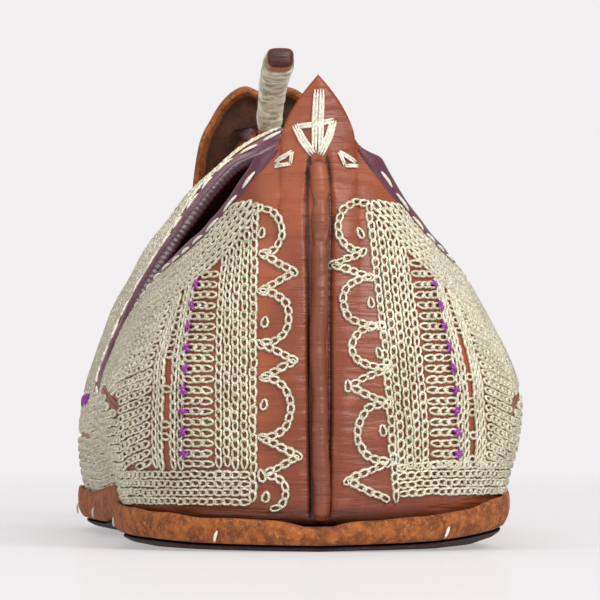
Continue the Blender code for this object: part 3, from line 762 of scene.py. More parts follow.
class Wire:
    """A shader value that takes part in Python sums; each sum adds a Math node."""

    def __init__(self, book: Book, socket: bpy.types.NodeSocket) -> None:
        """Keeps the socket and the node book that it belongs to."""
        self.book, self.socket = book, socket

    def sum(self, operation: str, first: object, second: object) -> Wire:
        """Adds one Math node of two values."""
        return self.book.node("Math", {"operation": operation}, {0: first, 1: second})

    def __add__(self, other: object) -> Wire:
        """Sum."""
        return self.sum("ADD", self, other)

    def __sub__(self, other: object) -> Wire:
        """Difference."""
        return self.sum("SUBTRACT", self, other)

    def __rsub__(self, other: object) -> Wire:
        """Difference from a number."""
        return self.sum("SUBTRACT", other, self)

    def __mul__(self, other: object) -> Wire:
        """Product."""
        return self.sum("MULTIPLY", self, other)

    __radd__, __rmul__ = __add__, __mul__


class Book:
    """The nodes of one material."""

    def __init__(self, name: str) -> None:
        """Starts a material with its principled shader.

        Args:
            name: the material's name.
        """
        self.material = bpy.data.materials.new(name)
        self.material.use_nodes = True
        self.tree = self.material.node_tree
        self.shader = self.tree.nodes["Principled BSDF"]
        self.where = self.node("TexCoord", output="Object")

    def feed(self, socket: bpy.types.NodeSocket, value: object) -> None:
        """Links a wire to a socket, or sets a number or colour on it.

        Args:
            socket: the socket.
            value: wire, number, text, vector or colour.
        """
        if isinstance(value, Wire):
            self.tree.links.new(value.socket, socket)
        elif isinstance(value, tuple) and len(value) == 3 and len(socket.default_value) == 4:
            socket.default_value = (*value, 1)
        else:
            socket.default_value = value

    def node(
        self, kind: str, settings: dict | None = None, sockets: dict | None = None, output: object = 0
    ) -> Wire:
        """Any node: its settings are set first, then the values or links of its sockets.

        Args:
            kind: node type without its ShaderNode prefix.
            settings: properties of the node, with a ramp's stops under "stops".
            sockets: value or wire for each socket, by name or number.
            output: name or number of the socket that is returned.

        Returns:
            The output as a wire.
        """
        node = self.tree.nodes.new("ShaderNode" + kind)
        settings = dict(settings or {})
        stops = settings.pop("stops", ())
        for key, value in settings.items():
            setattr(node, key, value)
        for number, (place, colour) in enumerate(stops):
            stop = node.color_ramp.elements[number] if number < 2 else node.color_ramp.elements.new(place)
            stop.position, stop.color = place, (*colour, 1)
        for key, value in (sockets or {}).items():
            self.feed(node.inputs[key], value)
        return Wire(self, node.outputs[output])

    def stretch(self, x: float, y: float, z: float) -> Wire:
        """Object coordinates scaled by axis, so that a pattern runs along the shoe's own directions."""
        return self.node("VectorMath", {"operation": "MULTIPLY"}, {0: self.where, 1: (x, y, z)})

    def noise(self, size: float, detail: float, rough: float) -> Wire:
        """Noise whose patches are about size metres across, from 0 to 1."""
        sockets = {"Vector": self.where, "Scale": 1 / size, "Detail": detail, "Roughness": rough}
        return self.node("TexNoise", None, sockets)

    def between(self, value: Wire, low: float, high: float) -> Wire:
        """0 below low, 1 above high, smooth between."""
        sockets = {"Value": value, "From Min": low, "From Max": high}
        return self.node("MapRange", {"interpolation_type": "SMOOTHSTEP"}, sockets)

    def mix(self, share: object, first: object, second: object) -> Wire:
        """Colour mix."""
        return self.node("Mix", {"data_type": "RGBA"}, {0: share, 6: first, 7: second}, 2)

    def kept(self, name: str) -> Wire:
        """Figure that the piece keeps for each point."""
        return self.node("Attribute", {"attribute_name": name}, None, "Fac")

    def bump(self, height: Wire, distance: float, under: Wire | None = None) -> Wire:
        """Bump of a height.

        Args:
            height: height from 0 to 1.
            distance: height of 1, in metres.
            under: bump that this one lies on.

        Returns:
            The bent directions.
        """
        sockets = {"Height": height, "Distance": distance}
        if under:
            sockets["Normal"] = under
        return self.node("Bump", None, sockets)

    def paint(self, **sockets: object) -> None:
        """Feeds the principled shader's sockets, named with underscores."""
        for name, value in sockets.items():
            self.feed(self.shader.inputs[name.replace("_", " ")], value)


@dataclass(frozen=True)
class Leather:
    """Smooth dyed leather: patches of base and deep colour, worn rubs, wrinkles, pores, and painted shade in
    troughs.

    Wrinkles and pores are heights in metres. The wrinkles run level round the shoe where level is True.
    """

    name: str
    base: Colour
    deep: Colour
    worn: Colour
    roughness: float = 0.46
    wrinkles: float = 0.16 * MM
    pores: float = 0.05 * MM
    level: bool = True

    def make(self) -> Material:
        """Builds the material.

        Returns:
            The material.
        """
        book = Book(self.name)
        mottling = book.noise(16 * MM, 3, 0.55)
        blotches = book.noise(4.2 * MM, 3, 0.6)
        pores = book.noise(0.55 * MM, 2, 0.6)
        grain = (70, 70, 620) if self.level else (260, 260, 260)
        lines = book.node("TexNoise", None, {"Vector": book.stretch(*grain), "Scale": 1.0, "Detail": 3.0})
        lines = book.between(lines, 0.34, 0.60)
        colour = book.mix(book.between(mottling, 0.36, 0.66), self.deep, self.base)
        colour = book.mix(book.between(blotches, 0.56, 0.74) * 0.45, colour, self.worn)
        colour = book.mix((1 - lines) * 0.30, colour, self.deep)
        # Painted shade: where the piece's trough attribute is high, the colour is darkened nearly to black, a
        # small share of the deep colour
        trough = book.between(book.kept("trough"), 0.06, 0.55)
        colour = book.mix(trough * 0.92, colour, tuple(0.14 * c for c in self.deep))
        roughness = (mottling - 0.5) * 0.22 + (pores - 0.5) * 0.12 + self.roughness
        relief = book.bump(lines, self.wrinkles)
        relief = book.bump(pores, self.pores, relief)
        book.paint(Base_Color=colour, Roughness=roughness, Normal=relief)
        book.paint(Coat_Weight=0.06, Coat_Roughness=0.30)
        return book.material


@dataclass(frozen=True)
class Nap:
    """Rough napped leather: light raised fibres, dark rubs and dirt, and a smoother inner face in a colour of
    its own, which on the sole is dark painted shade.
    """

    name: str
    base: Colour
    light: Colour
    dark: Colour
    inner: Colour

    def make(self) -> Material:
        """Builds the material.

        Returns:
            The material.
        """
        book = Book(self.name)
        patches = book.noise(7 * MM, 4, 0.6)
        fibres = book.noise(0.75 * MM, 5, 0.75)
        tufts = book.noise(2.2 * MM, 4, 0.7)
        colour = book.mix(book.between(tufts, 0.38, 0.64), self.dark, self.base)
        colour = book.mix(book.between(fibres, 0.52, 0.70) * 0.75, colour, self.light)
        colour = book.mix(book.between(patches, 0.55, 0.78) * 0.6, colour, self.dark)
        # Inner faces take the inner colour, patched with a darker copy of it: on the sole this is painted
        # shade on the inside faces, such as the inside of the turned-up toe
        face = book.between(book.kept("inner"), 0.25, 0.75)
        shaded = tuple(0.55 * part for part in self.inner)
        colour = book.mix(face, colour, book.mix(book.between(tufts, 0.4, 0.65), shaded, self.inner))
        colour = book.mix(book.between(book.kept("soiled"), 0.0, 1.0) * 0.75, colour, self.dark)
        relief = book.bump(tufts, 0.55 * MM)
        relief = book.bump(fibres, 0.28 * MM, relief)
        book.paint(Base_Color=colour, Roughness=0.96 - fibres * 0.15, Normal=relief)
        return book.material


@dataclass(frozen=True)
class Edge:
    """Semi-gloss edging leather with painted shade where it is turned inwards."""

    name: str
    face: Colour
    turned: Colour
    roughness: float = 0.38

    def make(self) -> Material:
        """Builds the material.

        Returns:
            The material.
        """
        book = Book(self.name)
        streaks = book.noise(2.4 * MM, 4, 0.6)
        pores = book.noise(0.45 * MM, 2, 0.6)
        # Painted shade: the turned attribute darkens the band towards the turned colour
        colour = book.mix(book.between(book.kept("turned"), 0.15, 0.65), self.face, self.turned)
        colour = book.mix(book.between(streaks, 0.5, 0.75) * 0.5, colour, self.turned)
        relief = book.bump(pores, 0.07 * MM)
        relief = book.bump(streaks, 0.16 * MM, relief)
        book.paint(Base_Color=colour, Roughness=(streaks - 0.5) * 0.3 + self.roughness, Normal=relief)
        book.paint(Coat_Weight=0.25, Coat_Roughness=0.25)
        return book.material


@dataclass(frozen=True)
class Thread:
    """Spun thread: dull and bright strands in patches of the grain's size, and a fine twist."""

    name: str
    base: Colour
    dull: Colour
    bright: Colour
    metallic: float = 0.25
    roughness: float = 0.42
    grain: float = 0.42 * MM

    def make(self) -> Material:
        """Builds the material.

        Returns:
            The material.
        """
        book = Book(self.name)
        patches = book.noise(9 * MM, 3, 0.6)
        strands_seen = book.noise(self.grain, 2, 0.6)
        twist = book.noise(0.16 * MM, 1, 0.5)
        colour = book.mix(book.between(patches, 0.40, 0.70) * 0.40, self.base, self.dull)
        colour = book.mix(book.between(strands_seen, 0.50, 0.66) * 0.75, colour, self.bright)
        colour = book.mix(book.between(strands_seen, 0.50, 0.34) * 0.78, colour, self.dull)
        relief = book.bump(twist, 0.07 * MM)
        book.paint(Base_Color=colour, Roughness=(strands_seen - 0.5) * 0.3 + self.roughness, Normal=relief)
        book.paint(Metallic=self.metallic)
        return book.material


UPPER_LEATHER = Leather(
    "terracotta_leather", base=(0.325, 0.074, 0.023), deep=(0.215, 0.043, 0.013), worn=(0.41, 0.125, 0.055)
)
CORD_LEATHER = Leather(
    "seam_leather",
    base=(0.31, 0.080, 0.026),
    deep=(0.17, 0.040, 0.014),
    worn=(0.42, 0.18, 0.12),
    roughness=0.5,
)
LINING = Leather(
    "maroon_lining",
    base=(0.060, 0.010, 0.017),
    deep=(0.032, 0.006, 0.010),
    worn=(0.10, 0.022, 0.034),
    roughness=0.42,
    level=False,
)
FOOTBED = Leather(
    "footbed_leather",
    base=(0.30, 0.125, 0.060),
    deep=(0.17, 0.065, 0.030),
    worn=(0.42, 0.22, 0.12),
    roughness=0.6,
    level=False,
)
# Its inner colour is painted shade: a much darker brown for the sole's inside faces, seen in the turned-up
# toe
SOLE_NAP = Nap(
    "napped_sole_leather",
    base=(0.385, 0.112, 0.020),
    light=(0.60, 0.24, 0.060),
    dark=(0.17, 0.042, 0.009),
    inner=(0.075, 0.024, 0.006),
)
OUTSOLE = Nap(
    "dark_outsole_leather",
    base=(0.055, 0.022, 0.027),
    light=(0.12, 0.055, 0.055),
    dark=(0.025, 0.011, 0.014),
    inner=(0.05, 0.02, 0.024),
)
# Its turned colour is painted shade on the inward side, and it also tints the streaks
EDGING = Edge("maroon_edging", face=(0.100, 0.020, 0.042), turned=(0.040, 0.005, 0.013))
GOLD = Thread("pale_gold_thread", base=(0.76, 0.71, 0.53), dull=(0.42, 0.37, 0.24), bright=(0.95, 0.93, 0.84))
IVORY = Thread(
    "ivory_thread",
    base=(0.78, 0.73, 0.60),
    dull=(0.52, 0.45, 0.33),
    bright=(0.93, 0.91, 0.84),
    metallic=0.05,
    roughness=0.5,
)
WINDING = Thread(
    "wound_thread",
    base=(0.62, 0.58, 0.44),
    dull=(0.26, 0.23, 0.15),
    bright=(0.90, 0.88, 0.78),
    metallic=0.2,
    roughness=0.38,
    grain=2.2 * MM,
)
MAGENTA = Thread(
    "magenta_thread",
    base=(0.30, 0.030, 0.30),
    dull=(0.14, 0.012, 0.15),
    bright=(0.55, 0.12, 0.55),
    metallic=0.0,
    roughness=0.45,
)


@dataclass
class Palette:
    """Each finish made once."""

    made: dict[str, Material] = field(default_factory=dict)

    def of(self, finish: Leather | Nap | Edge | Thread) -> Material:
        """The material of a finish."""
        if finish.name not in self.made:
            self.made[finish.name] = finish.make()
        return self.made[finish.name]


# The pieces


@dataclass
class UpperShell:
    """Leather shell of the upper, open at the collar and underneath, with its lining inside."""

    skin: Skin
    palette: Palette
    wall: float = 0.0020
    nose_wall: float = 0.0012
    wall_steps: int = 400
    # Painted shade in the troughs: full at this depth, none where a trough is shallower than the threshold
    # share of it
    full_shade_depth: float = 0.85 * MM
    shade_threshold: float = 0.26
    levels: int = 74
    columns: tuple[int, ...] = (26, 6, 12, 15, 22, 22, 14, 11, 10, 10, 9, 12, 15, 15, 13, 12, 8)

    def build(self) -> None:
        """Grid of the seen surface on both sides, merged along the middle and given its wall inwards."""
        places = [number + np.arange(count) / count for number, count in enumerate(self.columns)]
        at = np.concatenate([*places, [NOSE]])
        level = np.linspace(0, 1, self.levels)
        quads = grid_quads(len(at), self.levels)
        parts, painted_shades = [], []
        for side in Side:
            point, _ = self.skin.place(at[:, None], level[None], side.value)
            parts.append(on_side(point, quads, side))
            # Painted shade of the troughs and of the wall's foot, kept on the shell for its material
            bare = self.skin.form.wall(at[:, None], level[None]) * [side.value, 1, 1]
            painted_shades.append(self.painted_shade(bare, level))
        finishes = [self.palette.of(UPPER_LEATHER), self.palette.of(LINING)]
        shell = new_object("upper_shell", *together(parts), finishes)
        mark(shell, "trough", np.concatenate(painted_shades))
        joined(shell)
        self.thicken(shell)
        dressed(shell, "upper_leather", "upper")

    def thicken(self, shell: Piece) -> None:
        """Gives the shell its wall inwards, thinning in even steps over the toe's width before the nose.

        Args:
            shell: the bare grid.
        """
        thin = shell.vertex_groups.new(name="wall")
        places = np.empty(len(shell.data.vertices) * 3)
        shell.data.vertices.foreach_get("co", places)
        nose = STATIONS[-1].along * self.skin.form.length - self.skin.form.length / 2
        share = np.clip((nose - places[1::3]) / (2 * Girth.TOE.value), 0, 1)
        step = np.rint(share * self.wall_steps).astype(int)
        for number in range(self.wall_steps + 1):
            thin.add(np.flatnonzero(step == number).tolist(), number / self.wall_steps, "REPLACE")
        wall = shell.modifiers.new("wall", "SOLIDIFY")
        wall.thickness, wall.offset = self.wall, -1
        wall.vertex_group, wall.thickness_vertex_group = thin.name, self.nose_wall / self.wall
        wall.material_offset = 1

    def painted_shade(self, points: Array, level: Array) -> Array:
        """Painted shade for each place: darker with the depth of its trough, most in the narrow band over the
        sole, and a little darker towards the sole.

        Args:
            points: the bare form's points, stations by levels.
            level: shares of the wall, one for each level.

        Returns:
            One figure a point, 0 where no shade is painted.
        """
        deep = np.clip(-self.skin.relief(points, False) / self.full_shade_depth - self.shade_threshold, 0, 1)
        # Painted shade in the band where the wall meets the sole's rim, and a gentle darkening towards the
        # sole
        foot = 0.30 * (1 - eased(level, 0.0, 0.05)) + 0.20 * (1 - eased(level, 0.0, 0.75))
        return np.clip(deep + foot[None], 0, 1).reshape(-1)


@dataclass
class SoleUnit:
    """Sole with its cupped hand-cut rim, the thin dark outsole under it, and stitches through its edge."""

    skin: Skin
    palette: Palette
    steps: int = 420
    ragged: float = 0.42 * MM
    wobble_reach: float = 3.0 * MM
    notch: float = 0.75 * MM
    notch_width: float = 0.010
    deepest: float = 0.42
    tip_share: float = 0.88
    stitches: int = 8
    outsole_inset: float = 1.7 * MM
    rim_profile: Profile = ((0.86, 0.28), (0.62, 0.78), (0.44, 0.96), (0.26, 1.0))
    edge_profile: Profile = (
        (0.10, 0.975), (0.0, 0.88), (-0.05, 0.66),
        (-0.03, 0.40), (0.05, 0.20), (0.20, 0.06),
    )

    def layer(self, name: str, rings: list[tuple[float, float, Callable]], finish: Material) -> Piece:
        """A layer of leather: rings that follow the outline, each drawn in and raised by its own rule.

        Args:
            name: the piece's name.
            rings: inset, share of the way to the middle line, and height square to the sole for shares, inset
                and side, from the middle of the top round the edge to the middle of the underside.
            finish: its material.

        Returns:
            The piece.
        """
        form = self.skin.form
        # Points lie closer together round the heel and the toe
        even = np.linspace(0, 1, self.steps)
        shares = even - 0.055 * np.sin(2 * math.pi * even) - 0.012 * np.sin(4 * math.pi * even)
        point, outward = form.edge(shares)
        heel, toe = Girth.HEEL.value * 0.9, form.pattern - Girth.TOE.value * 0.9
        spine = np.stack([np.zeros(self.steps), np.clip(point[:, 1], heel, toe)], axis=-1)
        most = self.deepest * np.linalg.norm(spine - point, axis=1)
        turned = np.clip((shares - self.tip_share) / (1 - self.tip_share) * 2, 0, 1)[:, None]
        inwards = unit(spine - point) * turned - outward * (1 - turned)
        quads = grid_quads(self.steps, len(rings))
        parts, inner = [], []
        for side in Side:
            columns = []
            for inset, drawn, above in rings:
                reach = np.minimum(inset, most)
                fading = 1 - eased(np.full(self.steps, inset), 0, self.wobble_reach)
                wobble = self.uneven(shares, side, 5) * 0.5 * fading
                ring = point + inwards * (reach + (wobble if drawn == 0 else 0))[:, None]
                ring = ring + (spine - ring) * drawn
                ring[[0, -1], 0] = 0
                column = form.turn_up(ring[:, 0], ring[:, 1], above(shares, reach, side))
                columns.append(column * [side.value, 1, 1])
                # Rings inside the rim and towards the middle are marked as inner faces, which take the
                # material's inner colour: painted shade on the sole
                inner.append(np.full(self.steps, 1.0 if inset >= form.rim_width or drawn else 0.0))
            grid = np.stack(columns[::-1], axis=1)
            parts.append(on_side(grid, quads, side))
        faces = np.stack(inner[: len(rings)][::-1], axis=1).ravel()
        piece = new_object(name, *together(parts), [finish])
        mark(piece, "inner", np.concatenate([faces, faces]))
        joined(piece)
        return piece

    def uneven(self, shares: Array, side: Side, seed: int) -> Array:
        """Hand-cut unevenness round the outline: sines of whole turns, so that both ends meet.

        Args:
            shares: shares of the half outline.
            side: half of the shoe.
            seed: picks the phases.

        Returns:
            Offsets in metres.
        """
        draw = np.random.default_rng(seed)
        angle = side.value * shares * math.pi
        turns = (3, 7, 12, 19, 31, 46, 71)
        waves = [np.sin(k * angle + draw.uniform(0, 6.28)) * k**-0.28 for k in turns]
        return self.ragged * sum(waves) / 1.7

    def rim(self, share: float) -> Callable:
        """Ring height at a share of the way up the rim, uneven at its top.

        Args:
            share: share of the rim's height above the seat.

        Returns:
            Function of shares, inset and side.
        """
        form = self.skin.form

        def height(shares: Array, inset: Array, side: Side) -> Array:
            """Seat plus a share of the rim, of its unevenness and of its notch at the heel."""
            notch = self.notch * np.exp(-((shares / self.notch_width) ** 2))
            return form.seat + (form.rim_height(shares, side) + self.uneven(shares, side, 9) - notch) * share

        return height

    def wall(self, share: float) -> Callable:
        """Ring height at a share of the way from the drawn-up lower edge to the top of the rim.

        Args:
            share: share of that way.

        Returns:
            Function of shares, inset and side.
        """
        bottom, top = self.at_height(self.skin.form.underside, True), self.rim(1.0)

        def height(shares: Array, inset: Array, side: Side) -> Array:
            """The bottom plus the share of what lies between."""
            low = bottom(shares, inset * 0, side)
            return low + (top(shares, inset, side) - low) * share

        return height

    def at_height(self, height: float, lifted: bool = False) -> Callable:
        """Ring height that is level, or follows the drawn-up edge.

        Args:
            height: height above the ground, square to the sole.
            lifted: follow the edge.

        Returns:
            Function of shares, inset and side.
        """
        if lifted:
            return lambda shares, inset, side: height + self.skin.form.lift(shares, inset, side)
        return lambda shares, inset, side: height

    def build(self) -> None:
        """Makes the sole, the outsole and the stitches."""
        form = self.skin.form
        seat, under = self.at_height(form.seat), self.at_height(form.underside)
        low = self.at_height(form.underside, True)
        width, lift = form.rim_width, form.edge_lift_width
        rings = [
            (0.0, 1.0, seat),
            (0.0, 0.55, seat),
            (width * 2, 0.0, seat),
            (width * 1.12, 0.0, seat),
            *((width * inset, 0.0, self.rim(share)) for inset, share in self.rim_profile),
            *((width * inset, 0.0, self.wall(share)) for inset, share in self.edge_profile),
            (width * 0.42, 0.0, low),
            (lift / 5, 0.0, low),
            (lift / 2, 0.0, low),
            (lift, 0.0, under),
            (0.0, 0.55, under),
            (0.0, 1.0, under),
        ]
        sole = self.layer("napped_sole", rings, self.palette.of(SOLE_NAP))
        dressed(sole, "sole_leather", "sole")
        top, edge = form.outsole, self.outsole_inset
        level, low = self.at_height(top), self.at_height(top, True)
        flat, ground = self.at_height(0.0), self.at_height(0.0, True)
        rings = [
            (edge, 1.0, level),
            (edge, 0.55, level),
            (lift, 0.0, level),
            (lift / 2, 0.0, low),
            (lift / 5, 0.0, low),
            (edge * 1.1, 0.0, low),
            (edge * 0.9, 0.0, self.at_height(top * 0.75, True)),
            (edge, 0.0, self.at_height(top * 0.35, True)),
            (edge * 1.6, 0.0, ground),
            (lift / 2, 0.0, ground),
            (lift, 0.0, flat),
            (edge, 0.55, flat),
            (edge, 1.0, flat),
        ]
        outsole = self.layer("dark_outsole", rings, self.palette.of(OUTSOLE))
        dressed(outsole, "outsole_leather", "outsole")
        self.sew()

    def sew(self) -> None:
        """Short pale stitches through the sole's edge, each a slanted thread with sunk ends."""
        form = self.skin.form
        draw = np.random.default_rng(21)
        paths, outs = [], []
        for side in Side:
            for share in np.linspace(0.055, 0.90, self.stitches):
                place = share + draw.uniform(-0.012, 0.012)
                slant = draw.uniform(0.3, 1.1) * MM * side.value
                line = np.linspace(0, 1, 6)
                shares = np.clip(place + (line - 0.5) * slant / 0.30, 0, 1)
                point, outward = form.edge(shares)
                height = form.underside + form.lift(shares, np.zeros(6), side) + (0.15 + 1.9 * line) * MM
                spot = point + outward * (0.12 * MM + 0.16 * MM * np.sin(line * math.pi))[:, None]
                paths.append(form.turn_up(spot[:, 0], spot[:, 1], height) * [side.value, 1, 1])
                outs.append(form.raised(outward, spot[:, 1]) * [side.value, 1, 1])
        parts = strands(np.array(paths), np.array(outs), 0.30 * MM * tapered(6), 6, 0.8)
        dressed(new_object("sole_edge_stitches", *parts, [self.palette.of(IVORY)]), "gold_thread")


@dataclass
class Edging:
    """Maroon edging along the topline, ribbed where it turns inwards, with its ivory running stitch."""

    skin: Skin
    palette: Palette
    width: float = 3.5 * MM
    gap: float = -1.0 * MM
    thickness: float = 2.6 * MM
    wall: float = 2.0 * MM
    start: float = 0.25
    squareness: float = 0.62
    rings: int = 620
    corners: int = 20
    rib_pitch: float = 1.15 * MM
    rib_height: float = 0.10 * MM
    stitch: float = 3.9 * MM
    stitch_gap: float = 1.5 * MM
    stitch_start: float = 5.5 * MM
    stitch_line: float = 0.30
    places: int = 900

    def frame(self, side: Side, count: int) -> tuple[Array, Array, Array]:
        """Edge of the shell with its out and away directions: away is out crossed with the run of the edge.

        Args:
            side: half of the shoe.
            count: number of points.

        Returns:
            Points, out directions and away directions.
        """
        form = self.skin.form
        dense = np.linspace(TAB + self.start, THROAT, self.places)
        top = form.wall(dense, np.ones(self.places))
        places, run = divided(top, np.linspace(0, 1, count)), length_run(top)
        at = np.interp(np.linspace(0, run[-1], count), run, dense)
        out = form.facing(np.minimum(at, THROAT - 0.02), np.full(count, 0.99))
        run = np.gradient(places, axis=0)
        run[-1] = (-1, 0, 0)
        run = unit(run)
        out[-1, 0] = 0
        out = unit(out - run * np.sum(out * run, axis=1)[:, None])
        away = np.cross(out, run)
        tab = form.wall(0.0, 1.0) - places[0]
        lean = (1 - eased(np.arange(count), 0, count * 0.012))[:, None]
        away = unit(away + 0.5 * unit(tab) * lean)
        turn = np.array([side.value, 1.0, 1.0])
        return places * turn, out * turn, away * turn

    def build(self) -> None:
        """Carries a rounded band along the edge on each side; ribs ride on its turned-in part."""
        across, deep = squared(round_angles(self.corners), self.squareness)
        proud = (self.thickness - self.wall) / 2
        middle = proud - self.thickness / 2
        parts, turned = [], []
        for side in Side:
            edge, out, away = self.frame(side, self.rings)
            run = np.linspace(0, length_run(edge)[-1], self.rings)
            inward = np.clip(-deep * 0.9 + across * 0.6, 0, 1)
            ribs = np.sin(2 * math.pi * run / self.rib_pitch + 0.8 * np.sin(run / (3.1 * MM)))
            strength = 0.35 + 0.65 * (1 - eased(run, 0.02, 0.05)) + 0.65 * eased(run, 0.11, 0.13)
            swell = self.rib_height * (ribs * strength)[:, None] * inward[None]
            wander = 0.10 * MM * unevenness(edge, 7 * MM, 12)[:, None]
            wide = self.width * (0.35 + 0.65 * eased(run, 0, 5 * MM))[:, None]
            high = self.gap + wide * (across[None] + 1) / 2 + (swell + wander) * across[None]
            level = middle + (self.thickness / 2 + swell + wander) * deep[None]
            grid = edge[:, None] + away[:, None] * high[..., None] + out[:, None] * level[..., None]
            grid = np.concatenate([grid, grid[:, :1]], axis=1)
            quads = grid_quads(self.rings, self.corners + 1)
            quads = np.concatenate([quads[:, ::-1], end_cap(self.corners)[:, ::-1]])
            parts.append(on_side(grid, quads, side))
            # Painted shade: darker on the side turned into the shoe and over the band's upper edge, none on
            # its outer face
            dark = np.clip(0.5 - deep * 0.6 + across * 0.35, 0, 1)
            turned.append(np.tile(np.append(dark, dark[0]), self.rings))
        band = new_object("maroon_edging_band", *together(parts), [self.palette.of(EDGING)])
        mark(band, "turned", np.concatenate(turned))
        joined(band)
        dressed(band, "maroon_leather", "topline_binding")
        self.sew(proud)

    def sew(self, proud: float) -> None:
        """Running stitch along the outer face: equal threads with gaps between, ends sunk.

        Args:
            proud: how far the band stands out from the leather.
        """
        draw = np.random.default_rng(8)
        paths, outs = [], []
        for side in Side:
            edge, out, away = self.frame(side, self.places)
            length = length_run(edge)[-1]
            start = self.stitch_start
            while start < length - 1 * MM:
                size = self.stitch * draw.uniform(0.8, 1.12)
                shares = np.clip(np.linspace(start, start + size, 9) / length, 0, 1)
                spot = divided(edge, shares)
                face, up = unit(read_rows(out, shares)), unit(read_rows(away, shares))
                height = self.gap + self.width * (self.stitch_line + draw.uniform(-0.03, 0.03))
                arch = np.sin(np.linspace(0, math.pi, 9)) * 0.12 * MM
                paths.append(spot + up * height + face * (proud + 0.05 * MM + arch)[:, None])
                outs.append(face)
                start += size + self.stitch_gap * draw.uniform(0.75, 1.25)
        parts = strands(np.array(paths), np.array(outs), 0.33 * MM * tapered(9), 8, 0.75)
        dressed(new_object("edging_stitches", *parts, [self.palette.of(IVORY)]), "gold_thread")


@dataclass
class HeelSeam:
    """Rolled seam down the heel, and the satin-stitched sign on the tab above it."""

    skin: Skin
    palette: Palette
    width: float = 2.75 * MM
    depth: float = 1.7 * MM
    foot_gap: float = 0.9 * MM
    top: float = 63.6 * MM
    rings: int = 260
    corners: int = 16

    def build(self, chart: Chart) -> None:
        """Carries a flattened round along the seam: its width and depth swell and pinch by hand.

        Args:
            chart: the upper's chart, for the sign on the tab.
        """
        form = self.skin.form
        level = np.linspace(0.0, 0.88, 400)
        wall, out = self.skin.place(np.zeros(400), level, 1.0, 0.32 * MM)
        kept = within(wall[:, 2], form.seat + self.foot_gap, self.top)
        path = divided(wall[kept], np.linspace(0, 1, self.rings))
        both = divided(np.concatenate([wall[kept], out[kept] * 1e-4], axis=1), np.linspace(0, 1, self.rings))
        outs = unit(both[:, 3:])
        up = np.linspace(0, 1, self.rings)
        lumps = 0.025 * np.sin(up * 46 + 1.0) + 0.02 * np.sin(up * 83 + 2.0) + 0.05 * np.sin(up * 13)
        lumps += 0.15 * np.exp(-(((up - 0.93) / 0.022) ** 2)) + 0.13 * np.exp(-(((up - 0.83) / 0.03) ** 2))
        lumps -= 0.16 * np.exp(-(((up - 0.885) / 0.014) ** 2)) + 0.14 * np.exp(-(((up - 0.76) / 0.016) ** 2))
        sway = (0.22 * np.sin(up * 9.0 + 0.6) + 0.12 * np.sin(up * 23)) * MM
        path = path + np.stack([sway, np.zeros(self.rings), np.zeros(self.rings)], axis=-1)
        ends = 0.62 + 0.38 * eased(up, 0, 0.02) * (1 - eased(up, 0.985, 1.0))
        radius = self.width / 2 * (1 + lumps) * ends
        flat = 2 * self.depth / self.width
        points, quads = strands(path[None], outs[None], radius[None], self.corners, flat)
        cord = new_object("heel_seam_roll", points, quads, [self.palette.of(CORD_LEATHER)])
        turn = round_angles(self.corners)
        # Painted shade on the flanks and underside of the roll, where it meets the leather
        mark(cord, "trough", np.tile(np.clip(0.42 - np.sin(turn), 0, 1), self.rings))
        dressed(cord, "upper_leather", "back_seam_cord")
        self.sign(chart)

    def sign(self, chart: Chart) -> None:
        """Tab ornament: bars of a few parallel ivory threads each, laid through points of the rear view.

        Each bar has its (x, z) points and its width in millimetres, and its number of threads.

        Args:
            chart: the upper's chart.
        """
        bars = (
            (((0.15, 75.4), (-0.1, 70.5), (-0.2, 65.0)), 1.8, 4),
            (((-3.7, 69.3), (-0.3, 69.6), (2.5, 70.4)), 0.9, 2),
            (((-3.8, 69.6), (-2.6, 67.2), (-0.9, 64.7)), 1.25, 3),
            (((2.5, 70.4), (1.6, 67.6), (0.2, 64.6)), 1.25, 3),
            (((-4.3, 65.3), (-7.0, 63.4)), 0.7, 2),
            (((-4.2, 65.2), (-4.5, 63.2)), 0.6, 2),
            (((-4.5, 63.2), (-7.2, 62.8)), 0.6, 2),
            (((3.3, 65.2), (6.2, 63.4)), 0.7, 2),
            (((3.3, 65.1), (4.3, 62.9)), 0.6, 2),
            (((4.3, 62.9), (6.6, 62.9)), 0.6, 2),
        )
        parts = []
        for points, wide, threads in bars:
            steps = 12
            line = divided(np.array(points, float), np.linspace(0, 1, steps))
            across = unit(np.gradient(line, axis=0))[:, ::-1] * [1, -1]
            radius = wide / threads * 0.62
            paths, outs = [], []
            for number in range(threads):
                offset = (number - (threads - 1) / 2) * wide / threads
                spot, out = chart.rear(line + across * offset, self.skin)
                arch = np.sin(np.linspace(0, math.pi, steps)) ** 0.5 * 0.28 * MM
                paths.append(spot + out * (arch + 0.04 * MM)[:, None])
                outs.append(out)
            parts.append(strands(np.array(paths), np.array(outs), radius * MM * tapered(steps, 0.25), 6, 0.9))
        dressed(new_object("heel_tab_sign", *together(parts), [self.palette.of(IVORY)]), "gold_thread")


# Route of the tendril from its root: share of the shoe's length back, share of the nose's height up, and
# share of the width
TENDRIL = np.array(
    [
        (0.000, 0.000, 0.90),
        (0.010, 0.036, 0.91),
        (0.043, 0.080, 0.94),
        (0.090, 0.113, 0.97),
        (0.145, 0.137, 1.00),
        (0.200, 0.151, 1.02),
        (0.250, 0.161, 1.04),
    ]
)


